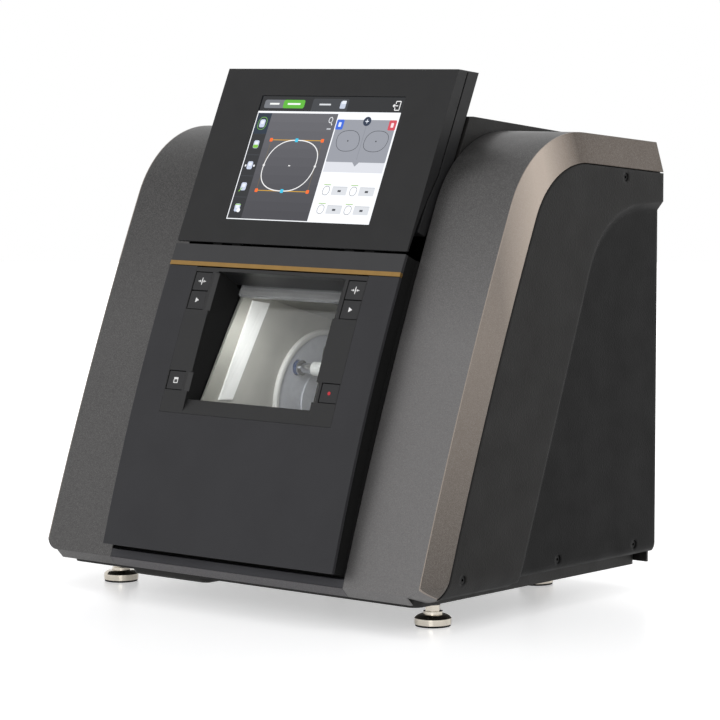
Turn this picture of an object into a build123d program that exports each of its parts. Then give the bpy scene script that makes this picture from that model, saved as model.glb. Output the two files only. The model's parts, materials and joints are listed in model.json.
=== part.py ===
from build123d import *
from math import acos, asin, atan2, cos, degrees, radians, sin, sqrt, tan
import os

os.makedirs("parts", exist_ok=True)

# Automatic lens edger, a table-top machine that grinds spectacle lenses to shape.
# Millimetres. X to the viewer's right, Y to the back, Z up. The origin is the middle of the
# footprint on the table.

# Housing
width = 570.0
depth = 440.0
housing_bottom = 33.0
half_width = width / 2
half_depth = depth / 2
cut_over = 5.0
seam = 0.3
skin = 3.0

# Bowed front: side view of the middle panel, from its bottom edge upwards
front_foot_z = 60.4
front_length = 356.0
front_tilt = 16.0
front_turn = 8.6
panel_thick = 4.0
header_height = 22.0
gold_width = 5.0
header_gap = 1.0
gold_proud = 0.4
header_rise = front_length - header_height
gold_rise = header_rise - gold_width

# Wings: the tall covers at each side, with a bowed face, a round shoulder and a sloping top
wing_inner = 172.0
wing_setback = 14.0
band_width = 10.0
chin_rise = 10.5
chin_run = 10.0
flank = half_width - band_width
wing_foot_y = -half_depth + wing_setback
wing_tilt = 18.5
wing_turn = 5.6
wing_bow = 4437.0
shoulder_radius = 128.0
top_slope = 5.5
band_inset = 33.5
band_chin_rise = 4.0
band_chin_run = 4.0
corner_radius = 27.0
corner_x = half_width - corner_radius

# Middle panel, between the wings
panel_play = 2.5
panel_half = wing_inner - panel_play

# Side covers
cover_gap = 1.2
cover_depth = 12.0
cover_bottom = 32.0
tongue_inset = 31.0
tongue_sink = 4.6
tongue_thick = 4.0
tongue_outer = half_width - tongue_sink
scoop_depth = 8.0
scoop_run = 10.0
scoop_bottom = 40.0
scoop_step_run = 8.0
scoop_corner_run = 16.0
scoop_corner = 14.0
scoop_knee = 120.0
scoop_bend = 105.0
screw_front_run = 78.0
screw_pitch = 144.0
screw_rear_run = 40.0
screw_top_run = 72.0
screw_low_z = 56.0
screw_top_z = 472.0
screw_places = [(-half_depth + screw_front_run, screw_low_z, 0),
                (half_depth - screw_rear_run - screw_pitch, screw_low_z, scoop_depth),
                (half_depth - screw_rear_run, screw_low_z, scoop_depth),
                (half_depth - screw_top_run, screw_top_z, 0)]
screw_recess_radius = 4.9
screw_recess_depth = 4.5
screw_boss_wall = 2.5
screw_head_radius = 4.5
screw_head_height = 3.0
screw_hole_radius = 2.2
screw_shank_radius = 2.0
screw_reach = 35.0
screw_end_x = half_width - screw_reach
screw_socket = 3.0
screw_socket_depth = 1.8

# Sill and chin under the front panel
sill_wall = 3.0
sill_lip = 4.2
sill_run = 21.6
sill_seat_y = wing_foot_y + sill_run
chin_strip_rise = 8.5
chin_strip_thick = 3.0

# Front frame, the black surround behind the panel
frame_wall = 3.5
frame_depth = 26.0
frame_ledge_depth = 19.5
frame_flange = 12.0
frame_cross_gap = 1.0
frame_cross_height = 14.0
frame_cross_depth = 6.0
frame_cross_low = gold_rise + frame_cross_gap
frame_cross_high = frame_cross_low + frame_cross_height

# Window bezel with its two button columns
bezel_half = 126.5
bezel_gap = 1.5
bezel_height = 171.5
bezel_thick = 9.5
bezel_skirt = 2.5
bezel_high = gold_rise - bezel_gap
bezel_low = bezel_high - bezel_height
column_width = 34.5
window_top_rim = 4.0
window_low_rim = 2.5
ledge_rise = 15.0
ledge_depth = 4.7
window_half = bezel_half - column_width
window_top = bezel_high - window_top_rim
ledge_low = bezel_low + window_low_rim
ledge_high = ledge_low + ledge_rise
tunnel_wall = 2.5
tunnel_back_gap = 1.0
tunnel_top_gap = 9.0
panel_round = 0.4
window_bevel_width = 5.0
window_bevel_depth = 3.0

# Buttons on the bezel
button_width = 24.0
button_height = 21.4
button_rim = 1.3
button_play = 0.7
button_top_drop = 16.7
button_pitch = 22.5
button_low_rise = 37.2
button_x = bezel_half - button_rim - button_width / 2
button_rises = {"clamp": bezel_high - button_top_drop,
                "start": bezel_high - button_top_drop - button_pitch,
                "door": bezel_low + button_low_rise, "stop": bezel_low + button_low_rise}
button_sink = 0.4
button_thick = 4.6
button_floor = 1.5
button_edge = 0.8

# Sliding door: its front face line in the side view, and its rails
door_setback = 77.5
door_foot_y = -half_depth + door_setback
door_foot_z = 222.0
door_tilt = 30.6
door_overlap = 7.0
door_half = window_half + door_overlap
door_thick = 5.0
door_low = -12.0
door_high = 148.0
door_edge = 1.5
handle_inset = 4.0
handle_half = window_half - handle_inset
handle_low = 129.0
handle_high = 145.0
handle_thick = 6.0
handle_round = 2.0
rail_overlap = 3.0
rail_inner = door_half - rail_overlap
rail_web = 2.5
rail_lip = 2.5
rail_play = 0.5
rail_low = -20.0
rail_high = 255.0

# Grinding chamber
chamber_margin = 1.0
chamber_wall = 4.0
chamber_rear_room = 48.0
chamber_lip_run = 5.2
mouth_reach = 12.0
chamber_lip_drop = 7.0
chamber_toe_z = 150.0
chamber_floor_z = 96.0
chamber_drain_rise = 8.0
chamber_rear_top = 274.0
chamber_peak_run = 84.5
chamber_peak_rise = 114.5
swing_run = 103.0
wheel_run = 109.0
wheel_room = 72.0
chamber_half = window_half + chamber_margin
chamber_rear_y = half_depth - chamber_rear_room
swing_y = chamber_rear_y - swing_run
wheel_y = swing_y - wheel_run
chamber_front_y = wheel_y - wheel_room
chamber_peak_y = door_foot_y + chamber_peak_run
chamber_peak_z = door_foot_z + chamber_peak_rise
chamber_outline = [(door_foot_y + chamber_lip_run, door_foot_z - chamber_lip_drop),
                   (chamber_front_y, chamber_toe_z), (chamber_front_y, chamber_floor_z),
                   (chamber_rear_y, chamber_floor_z + chamber_drain_rise),
                   (chamber_rear_y, chamber_rear_top), (chamber_peak_y, chamber_peak_z)]
light_low_run = 33.0
light_low_drop = 4.4
light_low_share = 0.25
light_low_fall = 1.9
light_high_run = 91.5
light_high_rise = 105.0
light_high_width = 29.0
light_high_fall = 5.0
light_thick = 2.0
web_inset = 7.0
web_thick = 5.0
web_front_run = 17.0
web_rear_run = 22.0
web_half = chamber_half - web_inset
web_front = chamber_front_y + web_front_run
web_rear = chamber_rear_y - web_rear_run

# Swing axis, seal discs and lens shafts
lens_run = 43.5
lens_rise = 44.5
swing_z = 200.0
lens_y = swing_y - lens_run
lens_z = swing_z + lens_rise
disc_radius = 86.0
disc_plate = 2.0
disc_bead = 5.0
disc_bead_width = 7.0
disc_hub_radius = 39.0
disc_hub_rise = 2.0
disc_neck_radius = 76.0
disc_neck_play = 0.4
disc_lip_radius = 80.0
disc_lip_thick = 2.0
disc_face_gap = 0.3
shaft_radius = 9.0
shaft_play = 0.6
shaft_fit = 0.06

# Carriage and traverse
left_arm_room = 93.0
arm_gap = 10.0
left_arm_x = -half_width + left_arm_room
right_arm_x = chamber_half + chamber_wall + arm_gap
arm_thick = 10.0
arm_end_radius = 18.0
bridge_run = 97.6
bridge_rise = 97.6
bridge_radius = 12.0
yoke_plate = 8.0
yoke_gap = 5.0
yoke_boss_radius = 20.0
swing_pin_radius = 8.0
beam_gap = 13.0
beam_front = chamber_rear_y + beam_gap
beam_thick = 16.0
beam_low = 158.0
beam_high = 242.0
rod_radius = 6.0
rod_rises = (beam_low + beam_thick, beam_high - beam_thick)
rod_room = 39.0
rod_half = half_width - rod_room
bracket_thick = 8.0
bracket_width = 24.0
bracket_over = 10.0

# Lens shafts: places along X, at rest
sleeve_reach = 9.0
chuck_length = 18.0
cup_length = 16.0
left_sleeve_tip = -chamber_half + sleeve_reach
left_chuck_tip = left_sleeve_tip + chuck_length
left_cup_tip = left_chuck_tip + cup_length
chuck_radius = 6.0
cup_radius = 8.5
cup_notch = 3.0
gear_radius = 20.0
gear_thick = 8.0
gear_teeth = 32
gear_tooth_depth = 2.2
gear_tooth_tilt = 78.0
gear_gap = 1.0
left_yoke_x = left_arm_x - yoke_gap - yoke_plate
left_shaft_end = left_yoke_x - gear_gap - gear_thick
right_pad_tip = 12.0
right_pad_thick = 6.0
right_pad_round = 2.0
quill_run = 65.0
quill_length = 16.0
shaft_cap = 7.0
quill_radius = 13.0
quill_low = right_arm_x + quill_run
quill_high = quill_low + quill_length
right_shaft_end = quill_high + shaft_cap

# Wheels and their spindle
wheel_z = 150.0
wheel_radius = 50.0
wheel_stack_x = -44.0
wheel_width = 22.0
wheel_gap = 3.0
wheel_groove_depth = 2.5
wheel_groove_half = 2.5
wheel_bore = 12.0
wheel_round = 1.5
spindle_radius = 10.0
spindle_flange_radius = 24.0
spindle_flange_thick = 5.0
spindle_nut_radius = 16.0
spindle_nut_thick = 9.0
spindle_housing_radius = 26.0
spindle_housing_length = 30.0
spindle_housing_end = chamber_half + spindle_housing_length
spindle_housing_flange = 38.0
spindle_flange_plate = 6.0
spindle_flange_bolts = 4
bearing_width = 8.0
bearing_radius = 19.0
pulley_gap = 5.0
pulley_x = spindle_housing_end + pulley_gap
pulley_width = 12.0
spindle_pulley_radius = 20.0
pulley_lip = 3.0
pulley_lip_thick = 1.5
belt_thick = 2.4
belt_play = 0.35

# Motor
motor_run = 7.0
motor_y = swing_y - motor_run
motor_z = 95.0
motor_radius = 45.0
motor_gap = 12.0
motor_room = 37.0
motor_low_x = pulley_x + pulley_width + motor_gap
motor_high_x = half_width - motor_room
motor_pulley_radius = 28.0
motor_shaft_radius = 8.0
motor_cap = 8.0
motor_fin_count = 16
motor_fin_width = 2.4
motor_fin_depth = 3.0
motor_foot_half = 34.0
motor_foot_wall = 6.0

# Feeler arm in the chamber
feeler_run = 7.0
feeler_y = swing_y + feeler_run
feeler_z = 276.0
feeler_rod_radius = 5.0
feeler_x = -60.0
feeler_width = 9.0
feeler_reach = 36.0
feeler_drop = 14.0
feeler_tip_radius = 3.5
feeler_tip_length = 8.0
feeler_arm_radius = 8.0
feeler_elbow_radius = 4.8
feeler_stylus_radius = 2.8
feeler_lug_x = -46.0
feeler_lug_thick = 14.0
feeler_lug_radius = 9.0

# Display
display_gap = 2.1
display_tilt = 24.6
display_length = 214.8
bezel_depth = 15.0
groove_width = 2.0
display_depth = 34.0
display_top_slope = 6.7
bezel_foot_depth = 2.6
bezel_taper_rise = 96.0
bezel_taper_mid_rise = 62.0
bezel_taper_mid_depth = 8.5
lcd_half = 105.9
lcd_low = 28.8
lcd_top_margin = 33.2
lcd_high = display_length - lcd_top_margin
lcd_sink = 1.2
lcd_thick = 6.0
lcd_seat = 5.0
display_edge = 1.2
shell_low = 26.0
shell_low_depth = 22.0
shell_full_rise = 70.0
display_wall = 3.0
hinge_rise = 11.0
hinge_depth = 9.0
hinge_pin_radius = 2.5
hinge_knuckle_radius = 4.5
hinge_x = 98.0
hinge_width = 14.0
hinge_pin_length = 42.0
hinge_fit = 0.06
hinge_arm = 5.0

# Top and rear covers
top_play = 0.6
top_half = wing_inner - top_play
top_gap = 3.5
top_front_z = 539.5
top_flat = 6.0
top_cover_slope = 6.8
top_low_z = 452.0
top_skirt = 14.0
top_round = 2.0
rear_thick = 3.0
rear_inset = 17.0
rear_half = half_width - rear_inset
vent_count = 9
vent_length = 60.0
vent_height = 4.0
vent_pitch = 10.0
vent_z = 400.0
vent_x = 120.0

# Base pan and feet
pan_bottom = 28.0
pan_thick = 3.0
pan_inset = 30.0
pan_setback = 36.0
pan_play = 0.5
pan_flange = 64.0
pan_corner = 12.0
pan_half = half_width - pan_inset
pan_front = -half_depth + pan_setback
pan_rear = half_depth - rear_thick - pan_play
sump_side_gap = 80.0
sump_front_gap = 12.0
sump_width = 120.0
sump_length = 112.0
sump_bottom = 19.5
sump_round = 6.0
sump_low_x = -pan_half + sump_side_gap
sump_high_x = sump_low_x + sump_width
sump_front = pan_front + sump_front_gap
sump_rear = sump_front + sump_length
foot_side_gap = 23.0
rear_foot_side_gap = 105.0
foot_front_gap = 56.8
foot_rear_gap = 51.5
foot_x = pan_half - foot_side_gap
rear_foot_x = pan_half - rear_foot_side_gap
foot_front_y = pan_front + foot_front_gap
foot_rear_y = pan_rear - foot_rear_gap
foot_radius = 20.0
foot_rubber_height = 2.2
foot_rubber_inset = 1.0
foot_rim_height = 6.6
foot_dome_rise = 4.0
foot_neck_radius = 10.5
foot_neck_height = 3.2
foot_stud_radius = 5.0
foot_nut_across = 15.0
foot_nut_height = 6.8
foot_stud_rise = 44.0
foot_socket_depth = 6.0

# Connectors on the rear cover
inlet_side_gap = 78.0
inlet_x = -rear_half + inlet_side_gap
inlet_z = 92.0
inlet_width = 48.0
inlet_height = 27.0
inlet_face = 2.5
inlet_body_depth = 22.0
inlet_socket_width = 25.0
inlet_socket_height = 17.0
inlet_socket_depth = 16.0
inlet_pin = 2.0
inlet_pin_length = 12.0
inlet_pin_pitch = 7.0
switch_pitch = 50.0
switch_x = inlet_x + switch_pitch
switch_width = 21.0
switch_height = 29.0
switch_body_depth = 18.0
switch_frame = 2.0
rocker_width = 14.0
rocker_height = 21.0
rocker_swell = 3.0
rocker_boss_radius = 3.0
rocker_pin_radius = 1.4
rocker_pin_over = 1.5
rocker_fit = 0.05
fitting_side_gap = 118.0
fitting_x = rear_half - fitting_side_gap
fitting_pitch = 50.0
fitting_radius = 9.0
fitting_flange = 14.0
fitting_length = 22.0
fitting_flange_thick = 4.0
fitting_bore = 5.5
fitting_z = 92.0

# Geometry of the bowed front in the side view
front_bow = front_length / radians(front_turn)
front_foot = Vector(-half_depth, front_foot_z)


def polar(radius, angle):
    """A vector in the side view, from a length and an angle above the back direction."""
    return Vector(radius * cos(radians(angle)), radius * sin(radians(angle)))


front_centre = front_foot - polar(front_bow, 180 - front_tilt)


def front_angle(rise):
    """Angle, about the bow's centre, of the point a given way up the front."""
    return 180 - front_tilt - degrees(rise / front_bow)


def front_point(rise, inset=0):
    """Side view point a given way up the bowed front and a given depth behind it."""
    return front_centre + polar(front_bow - inset, front_angle(rise))


def front_plane(rise, inset=0):
    """Plane on the front, X to the right and Y up the slope, facing outwards."""
    place = front_point(rise, inset)
    out = polar(1, front_angle(rise))
    return Plane(origin=(0, place.X, place.Y), x_dir=(1, 0, 0), z_dir=(0, out.X, out.Y))


def front_strip(low, high, outer, inner):
    """Side view of a strip of the bowed front, between two rises and two depths."""
    turn = front_angle(high) - front_angle(low)
    centre = (front_centre.X, front_centre.Y)
    with BuildSketch(Plane.YZ) as strip:
        with BuildLine():
            CenterArc(centre, front_bow - outer, front_angle(low), turn)
            Line(flat(front_point(high, outer)), flat(front_point(high, inner)))
            CenterArc(centre, front_bow - inner, front_angle(high), -turn)
            Line(flat(front_point(low, inner)), flat(front_point(low, outer)))
        make_face()
    return strip.sketch


def flat(place):
    """The two side view coordinates of a vector."""
    return (place.X, place.Y)


def side_face(points, station=0):
    """Closed straight-sided outline in the side view, at a place along X."""
    with BuildSketch(Plane.YZ.offset(station)) as face:
        with BuildLine():
            Polyline(*[flat(p) if isinstance(p, Vector) else p for p in points], close=True)
        make_face()
    return face.sketch


def disc_face(place, radius, station=0):
    """Round outline in the side view, at a place along X."""
    with BuildSketch(Plane.YZ.offset(station)) as face:
        with Locations(flat(place)):
            Circle(radius)
    return face.sketch


def hull_face(rounds, station=0):
    """Outline wrapped round two circles in the side view, at a place along X."""
    (start, start_radius), (end, end_radius) = rounds
    span = end - start
    aim = degrees(atan2(span.Y, span.X))
    lean = degrees(acos((start_radius - end_radius) / span.length))
    with BuildSketch(Plane.YZ.offset(station)) as face:
        with BuildLine():
            CenterArc(flat(start), start_radius, aim + lean, 360 - lean * 2)
            CenterArc(flat(end), end_radius, aim - lean, lean * 2)
            for turn in (aim - lean, aim + lean):
                Line(flat(start + polar(start_radius, turn)), flat(end + polar(end_radius, turn)))
        make_face()
    return face.sketch


def finish(part, name):
    """Name a finished piece and write it."""
    part.label = name
    export_step(part, "parts/" + name + ".step")


# Geometry of the wings in the side view
wing_centre = Vector(wing_foot_y, housing_bottom + chin_rise) - polar(wing_bow, 180 - wing_tilt)
shoulder_start = 180 - wing_tilt - wing_turn
shoulder_end = 90 - top_slope
shoulder_centre = wing_centre + polar(wing_bow - shoulder_radius, shoulder_start)
shoulder_top = shoulder_centre + polar(shoulder_radius, shoulder_end)
wing_rear_top = shoulder_top.Y - (half_depth - shoulder_top.X) * tan(radians(top_slope))
rear_top = wing_rear_top - skin / cos(radians(top_slope)) - seam
band_slope = band_inset / (half_width - flank)
band_skin = skin * sqrt(1 + band_slope ** 2)


def wing_outline(inset, station, rise, run, floor, rear):
    """Side view of a wing's solid form, set in from its face, as a sketch across X."""
    radius = wing_bow - inset
    start = 180 - degrees(asin((housing_bottom + rise - wing_centre.Y) / radius))
    foot = wing_centre + polar(radius, start)
    top = shoulder_centre + polar(shoulder_radius - inset, shoulder_end)
    rear_z = top.Y - (rear - top.X) * tan(radians(top_slope))
    outline = [flat(top), (rear, rear_z), (rear, floor), (foot.X + run, floor)]
    if floor < housing_bottom:
        outline.append((foot.X + run, housing_bottom))
    with BuildSketch(Plane.YZ.offset(station)) as face:
        with BuildLine():
            CenterArc(flat(wing_centre), radius, start, shoulder_start - start)
            CenterArc(flat(shoulder_centre), shoulder_radius - inset, shoulder_start,
                      shoulder_end - shoulder_start)
            Polyline(*outline, flat(foot))
        make_face()
    return face.sketch


# Wing covers
wing_knee = flank - skin * (sqrt(1 + band_slope ** 2) - 1) / band_slope
below = housing_bottom - cut_over
behind = half_depth + cut_over


def corner_face(station, x, z, radius):
    """What lies outside a rounded lower outer corner, in a section across the depth."""
    reach = band_inset + cut_over
    with BuildSketch(Plane.XZ.offset(-station)) as face:
        with BuildLine():
            CenterArc((x, z), radius, 0, -90)
            Polyline((x, z - radius), (x, z - reach), (x + reach, z - reach), (x + reach, z),
                     (x + radius, z))
        make_face()
    return face.sketch


def wing_corner(shrink, rear):
    """What is cut from a wing's form so that its band runs round the lower outer corner."""
    start = wing_foot_y - cut_over
    end = wing_foot_y + band_inset
    middle_z = housing_bottom + corner_radius
    back_radius = corner_radius - shrink
    front_radius = back_radius - (end - start) / band_slope
    with BuildPart() as corner:
        loft([corner_face(start, corner_x, middle_z, front_radius),
              corner_face(end, corner_x, middle_z, back_radius)], ruled=True)
        extrude(corner_face(end, corner_x, middle_z, back_radius), amount=end - rear)
    return corner.part


with BuildPart() as wing_hollow:
    extrude(wing_outline(skin, wing_inner - cut_over, chin_rise, chin_run, below, behind),
            amount=wing_knee - wing_inner + cut_over)
    loft([wing_outline(skin, wing_knee, chin_rise, chin_run, below, behind),
          wing_outline(band_inset + band_skin, half_width, band_chin_rise, band_chin_run, below,
                       behind)], ruled=True)
    add(wing_corner(skin, wing_foot_y + band_inset + band_skin), mode=Mode.SUBTRACT)

with BuildPart() as right_wing_cover:
    extrude(wing_outline(0, wing_inner, chin_rise, chin_run, housing_bottom, half_depth),
            amount=flank - wing_inner)
    loft([wing_outline(0, flank, chin_rise, chin_run, housing_bottom, half_depth),
          wing_outline(band_inset, half_width, band_chin_rise, band_chin_run, housing_bottom,
                       half_depth)], ruled=True)
    add(wing_corner(0, behind), mode=Mode.SUBTRACT)
    add(wing_hollow.part, mode=Mode.SUBTRACT)
    extrude(wing_outline(band_inset, wing_knee, band_chin_rise, band_chin_run, below, behind),
            amount=half_width - wing_knee + cut_over, mode=Mode.SUBTRACT)
finish(right_wing_cover.part, "right_wing_cover")

with BuildPart() as left_wing_cover:
    mirror(right_wing_cover.part, about=Plane.YZ)
finish(left_wing_cover.part, "left_wing_cover")


# Side covers with their scoops. The ridge runs from the bottom up to a knee, on to a bend and
# then back; its corners are shares of the depth, from the front, and of the wing's height
scoop_slope = scoop_run / scoop_depth
scoop_ridge_shares = [(0.3773, 0.0574), (0.4007, 0.0875), (0.7412, 0.8432), (1.0364, 0.8478)]
scoop_ridge = [Vector(depth * run - half_depth, shoulder_top.Y * rise)
               for run, rise in scoop_ridge_shares]
scoop_foot, scoop_knee_place, scoop_bend_place, scoop_tail = scoop_ridge
scoop_step_y = scoop_foot.X + scoop_step_run
scoop_corner_y = scoop_foot.X + scoop_corner_run


def scoop_outline(shift, station):
    """Outline of the scoop, its ridge set in by an amount, as a sketch across X."""
    far = half_depth + front_length
    low = scoop_foot + (scoop_foot - scoop_knee_place)
    with BuildSketch(Plane.YZ.offset(station)) as face:
        with BuildLine():
            Polyline(flat(low), flat(scoop_knee_place), flat(scoop_bend_place), flat(scoop_tail),
                     (far, scoop_tail.Y), (far, low.Y), close=True)
        make_face()
        for place, radius in ((scoop_knee_place, scoop_knee), (scoop_bend_place, scoop_bend)):
            fillet(face.vertices().sort_by_distance((place.X, place.Y, 0))[:1], radius)
        offset(amount=-shift, kind=Kind.INTERSECTION)
    return face.sketch


cover_inset = band_inset + cover_gap
cover_back = half_width - cover_depth
cover_step = scoop_bottom - cover_bottom
scoop_x = half_width - scoop_depth
scoop_lean = degrees(atan2(scoop_run, scoop_depth))
tongue_back = tongue_outer - tongue_thick


def cover_outline(inset, station, floor, rear):
    """Outline of a side cover, inside the wing's band, with its raised rear bottom."""
    radius = wing_bow - inset
    start = 180 - degrees(asin((floor - wing_centre.Y) / radius))
    foot = wing_centre + polar(radius, start)
    top = shoulder_centre + polar(shoulder_radius - inset, shoulder_end)
    rear_z = top.Y - (rear - top.X) * tan(radians(top_slope))
    with BuildSketch(Plane.YZ.offset(station)) as face:
        with BuildLine():
            CenterArc(flat(wing_centre), radius, start, shoulder_start - start)
            CenterArc(flat(shoulder_centre), shoulder_radius - inset, shoulder_start,
                      shoulder_end - shoulder_start)
            Polyline(flat(top), (rear, rear_z), (rear, floor + cover_step),
                     (scoop_step_y, floor + cover_step), (scoop_step_y - cover_step, floor), flat(foot))
        make_face()
    return face.sketch


def cover_form(back, shrink):
    """A side cover's solid form from a place outwards, all its walls set in by an amount."""
    lean = shrink * sqrt(1 + scoop_slope ** 2)
    with BuildPart() as form:
        extrude(cover_outline(cover_inset + shrink, back, cover_bottom + shrink, half_depth - shrink),
                amount=half_width - shrink - back)
        extrude(scoop_outline(scoop_slope * (scoop_depth + shrink) - lean, scoop_x - shrink),
                amount=scoop_depth + shrink + cut_over, taper=-scoop_lean, mode=Mode.SUBTRACT)
        extrude(corner_face(-behind, corner_x, cover_bottom + corner_radius, corner_radius - shrink),
                amount=-behind * 2, mode=Mode.SUBTRACT)
        extrude(corner_face(scoop_corner_y, scoop_x - scoop_corner, scoop_bottom + scoop_corner,
                            scoop_corner - shrink), amount=scoop_corner_y - behind, mode=Mode.SUBTRACT)
    return form.part


with BuildPart() as cover_tongue:
    extrude(cover_outline(tongue_inset, tongue_back, cover_bottom + cover_gap, half_depth),
            amount=tongue_thick)
    extrude(cover_outline(cover_inset + skin / 2, tongue_back, cover_bottom - cut_over, behind),
            amount=tongue_thick, mode=Mode.SUBTRACT)
    extrude(corner_face(-behind, corner_x, housing_bottom + corner_radius,
                        corner_radius - skin - cover_gap), amount=-behind * 2, mode=Mode.SUBTRACT)

with BuildPart() as right_side_cover:
    add(cover_form(cover_back, 0))
    add(cover_form(cover_back - cut_over, skin), mode=Mode.SUBTRACT)
    add(cover_tongue.part)
    for y, z, sink in screw_places:
        place = Vector(y, z)
        seat = half_width - sink - screw_recess_depth
        extrude(disc_face(place, screw_recess_radius + screw_boss_wall, seat - skin),
                amount=skin / 2 + screw_recess_depth)
        extrude(disc_face(place, screw_recess_radius, seat), amount=screw_recess_depth + cut_over,
                mode=Mode.SUBTRACT)
        extrude(disc_face(place, screw_hole_radius, seat - skin), amount=skin, mode=Mode.SUBTRACT)
finish(right_side_cover.part, "right_side_cover")

with BuildPart() as left_side_cover:
    mirror(right_side_cover.part, about=Plane.YZ)
finish(left_side_cover.part, "left_side_cover")

with BuildPart() as side_cover_screws:
    for y, z, sink in screw_places:
        place = Vector(y, z)
        seat = half_width - sink - screw_recess_depth
        extrude(disc_face(place, screw_head_radius, seat), amount=screw_head_height)
        extrude(disc_face(place, screw_shank_radius, screw_end_x), amount=seat - screw_end_x)
        with BuildSketch(Plane.YZ.offset(seat + screw_head_height - screw_socket_depth)):
            with Locations((y, z)):
                RegularPolygon(screw_socket / sqrt(3), 6)
        extrude(amount=screw_socket_depth, mode=Mode.SUBTRACT)
    mirror(side_cover_screws.part, about=Plane.YZ)
finish(side_cover_screws.part, "side_cover_screws")

# Sill: the painted strip along the bottom, between the wings
sill_half = wing_inner - seam
with BuildPart() as front_sill:
    extrude(side_face([
        (wing_foot_y, housing_bottom + chin_rise), (wing_foot_y + chin_run, housing_bottom),
        (sill_seat_y, housing_bottom), (sill_seat_y, housing_bottom + sill_wall),
        (wing_foot_y + chin_run + sill_wall / 2, housing_bottom + sill_wall),
        (wing_foot_y + sill_lip, housing_bottom + chin_rise - seam),
        (sill_seat_y, housing_bottom + chin_rise - seam),
        (sill_seat_y, housing_bottom + chin_rise)]), amount=sill_half, both=True)
finish(front_sill.part, "front_sill")

# Chin strip: the dark step between the sill and the front panel
chin_slope = tan(radians(wing_tilt))
chin_low = housing_bottom + chin_rise + seam
chin_top = chin_low + chin_strip_rise
chin_back = chin_strip_thick * 4
with BuildPart() as chin_strip:
    extrude(side_face([
        (wing_foot_y + seam, chin_low), (wing_foot_y + seam + chin_strip_rise * chin_slope, chin_top),
        (wing_foot_y + chin_back, chin_top), (wing_foot_y + chin_back, chin_low)]),
        amount=sill_half, both=True)
finish(chin_strip.part, "chin_strip")

# Front frame: black side walls, bottom wall and cross member behind the panel
frame_low = chin_strip_thick / 2
frame_high = front_length - header_gap
with BuildPart() as frame_lip:
    extrude(front_strip(frame_low, frame_high, panel_thick, panel_thick + frame_wall),
            amount=panel_half, both=True)
    extrude(front_strip(frame_low + frame_flange, frame_high + cut_over, panel_thick,
                        panel_thick + frame_wall),
            amount=panel_half - frame_flange, both=True, mode=Mode.SUBTRACT)

with BuildPart() as front_frame:
    extrude(front_strip(frame_low, frame_high, panel_thick, frame_depth), amount=panel_half, both=True)
    extrude(front_strip(frame_low, frame_high, frame_ledge_depth, frame_depth), amount=sill_half,
            both=True)
    extrude(front_strip(frame_low + frame_wall, frame_high + cut_over, panel_thick - cut_over,
                        frame_depth + cut_over),
            amount=panel_half - frame_wall, both=True, mode=Mode.SUBTRACT)
    add(frame_lip.part)
    extrude(front_strip(frame_cross_low, frame_cross_high, panel_thick, panel_thick + frame_cross_depth),
            amount=panel_half, both=True)
finish(front_frame.part, "front_frame")

# Front panel: a bowed plate with an open notch for the window bezel
with BuildPart() as front_panel:
    extrude(front_strip(0, gold_rise - header_gap / 2, 0, panel_thick), amount=panel_half, both=True)
    fillet(front_panel.faces().sort_by(Axis.Y)[:1].edges().filter_by(Axis.X), panel_round)
    extrude(front_strip(bezel_low - seam, front_length, -cut_over, panel_thick + cut_over),
            amount=bezel_half + seam, both=True, mode=Mode.SUBTRACT)
finish(front_panel.part, "front_panel")

# Gold trim line and header band
with BuildPart() as gold_trim:
    extrude(front_strip(gold_rise, header_rise, -gold_proud, panel_thick), amount=panel_half, both=True)
finish(gold_trim.part, "gold_trim")

with BuildPart() as header_band:
    extrude(front_strip(header_rise + seam / 2, front_length - header_gap, 0, panel_thick),
            amount=panel_half, both=True)
finish(header_band.part, "header_band")

# The door's front line, and points set off from it
door_along = Vector(sin(radians(door_tilt)), cos(radians(door_tilt)))
door_in = Vector(cos(radians(door_tilt)), -sin(radians(door_tilt)))
door_foot = Vector(door_foot_y, door_foot_z)


def door_point(rise, inset=0):
    """Side view point a given way up the door's front line and a given depth behind it."""
    return door_foot + door_along * rise + door_in * inset


def door_rise(place):
    """How far up the door's line a side view point lies."""
    return (place - door_foot).dot(door_along)


def door_strip(low, high, outer, inner, station=0):
    """Side view of a strip along the door, between two rises and two depths."""
    return side_face([door_point(low, outer), door_point(high, outer), door_point(high, inner),
                      door_point(low, inner)], station)


# Window bezel: two button columns and the tunnel down to the door
def button_plane(name):
    """Plane on the front at the middle of a button."""
    return front_plane(button_rises[name], button_sink)


def across_front(rise):
    """Plane across the front at a rise, X to the right and Y inwards, facing up the slope."""
    place = front_point(rise)
    up = polar(1, front_angle(rise) - 90)
    return Plane(origin=(0, place.X, place.Y), x_dir=(1, 0, 0), z_dir=(0, up.X, up.Y))


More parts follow.
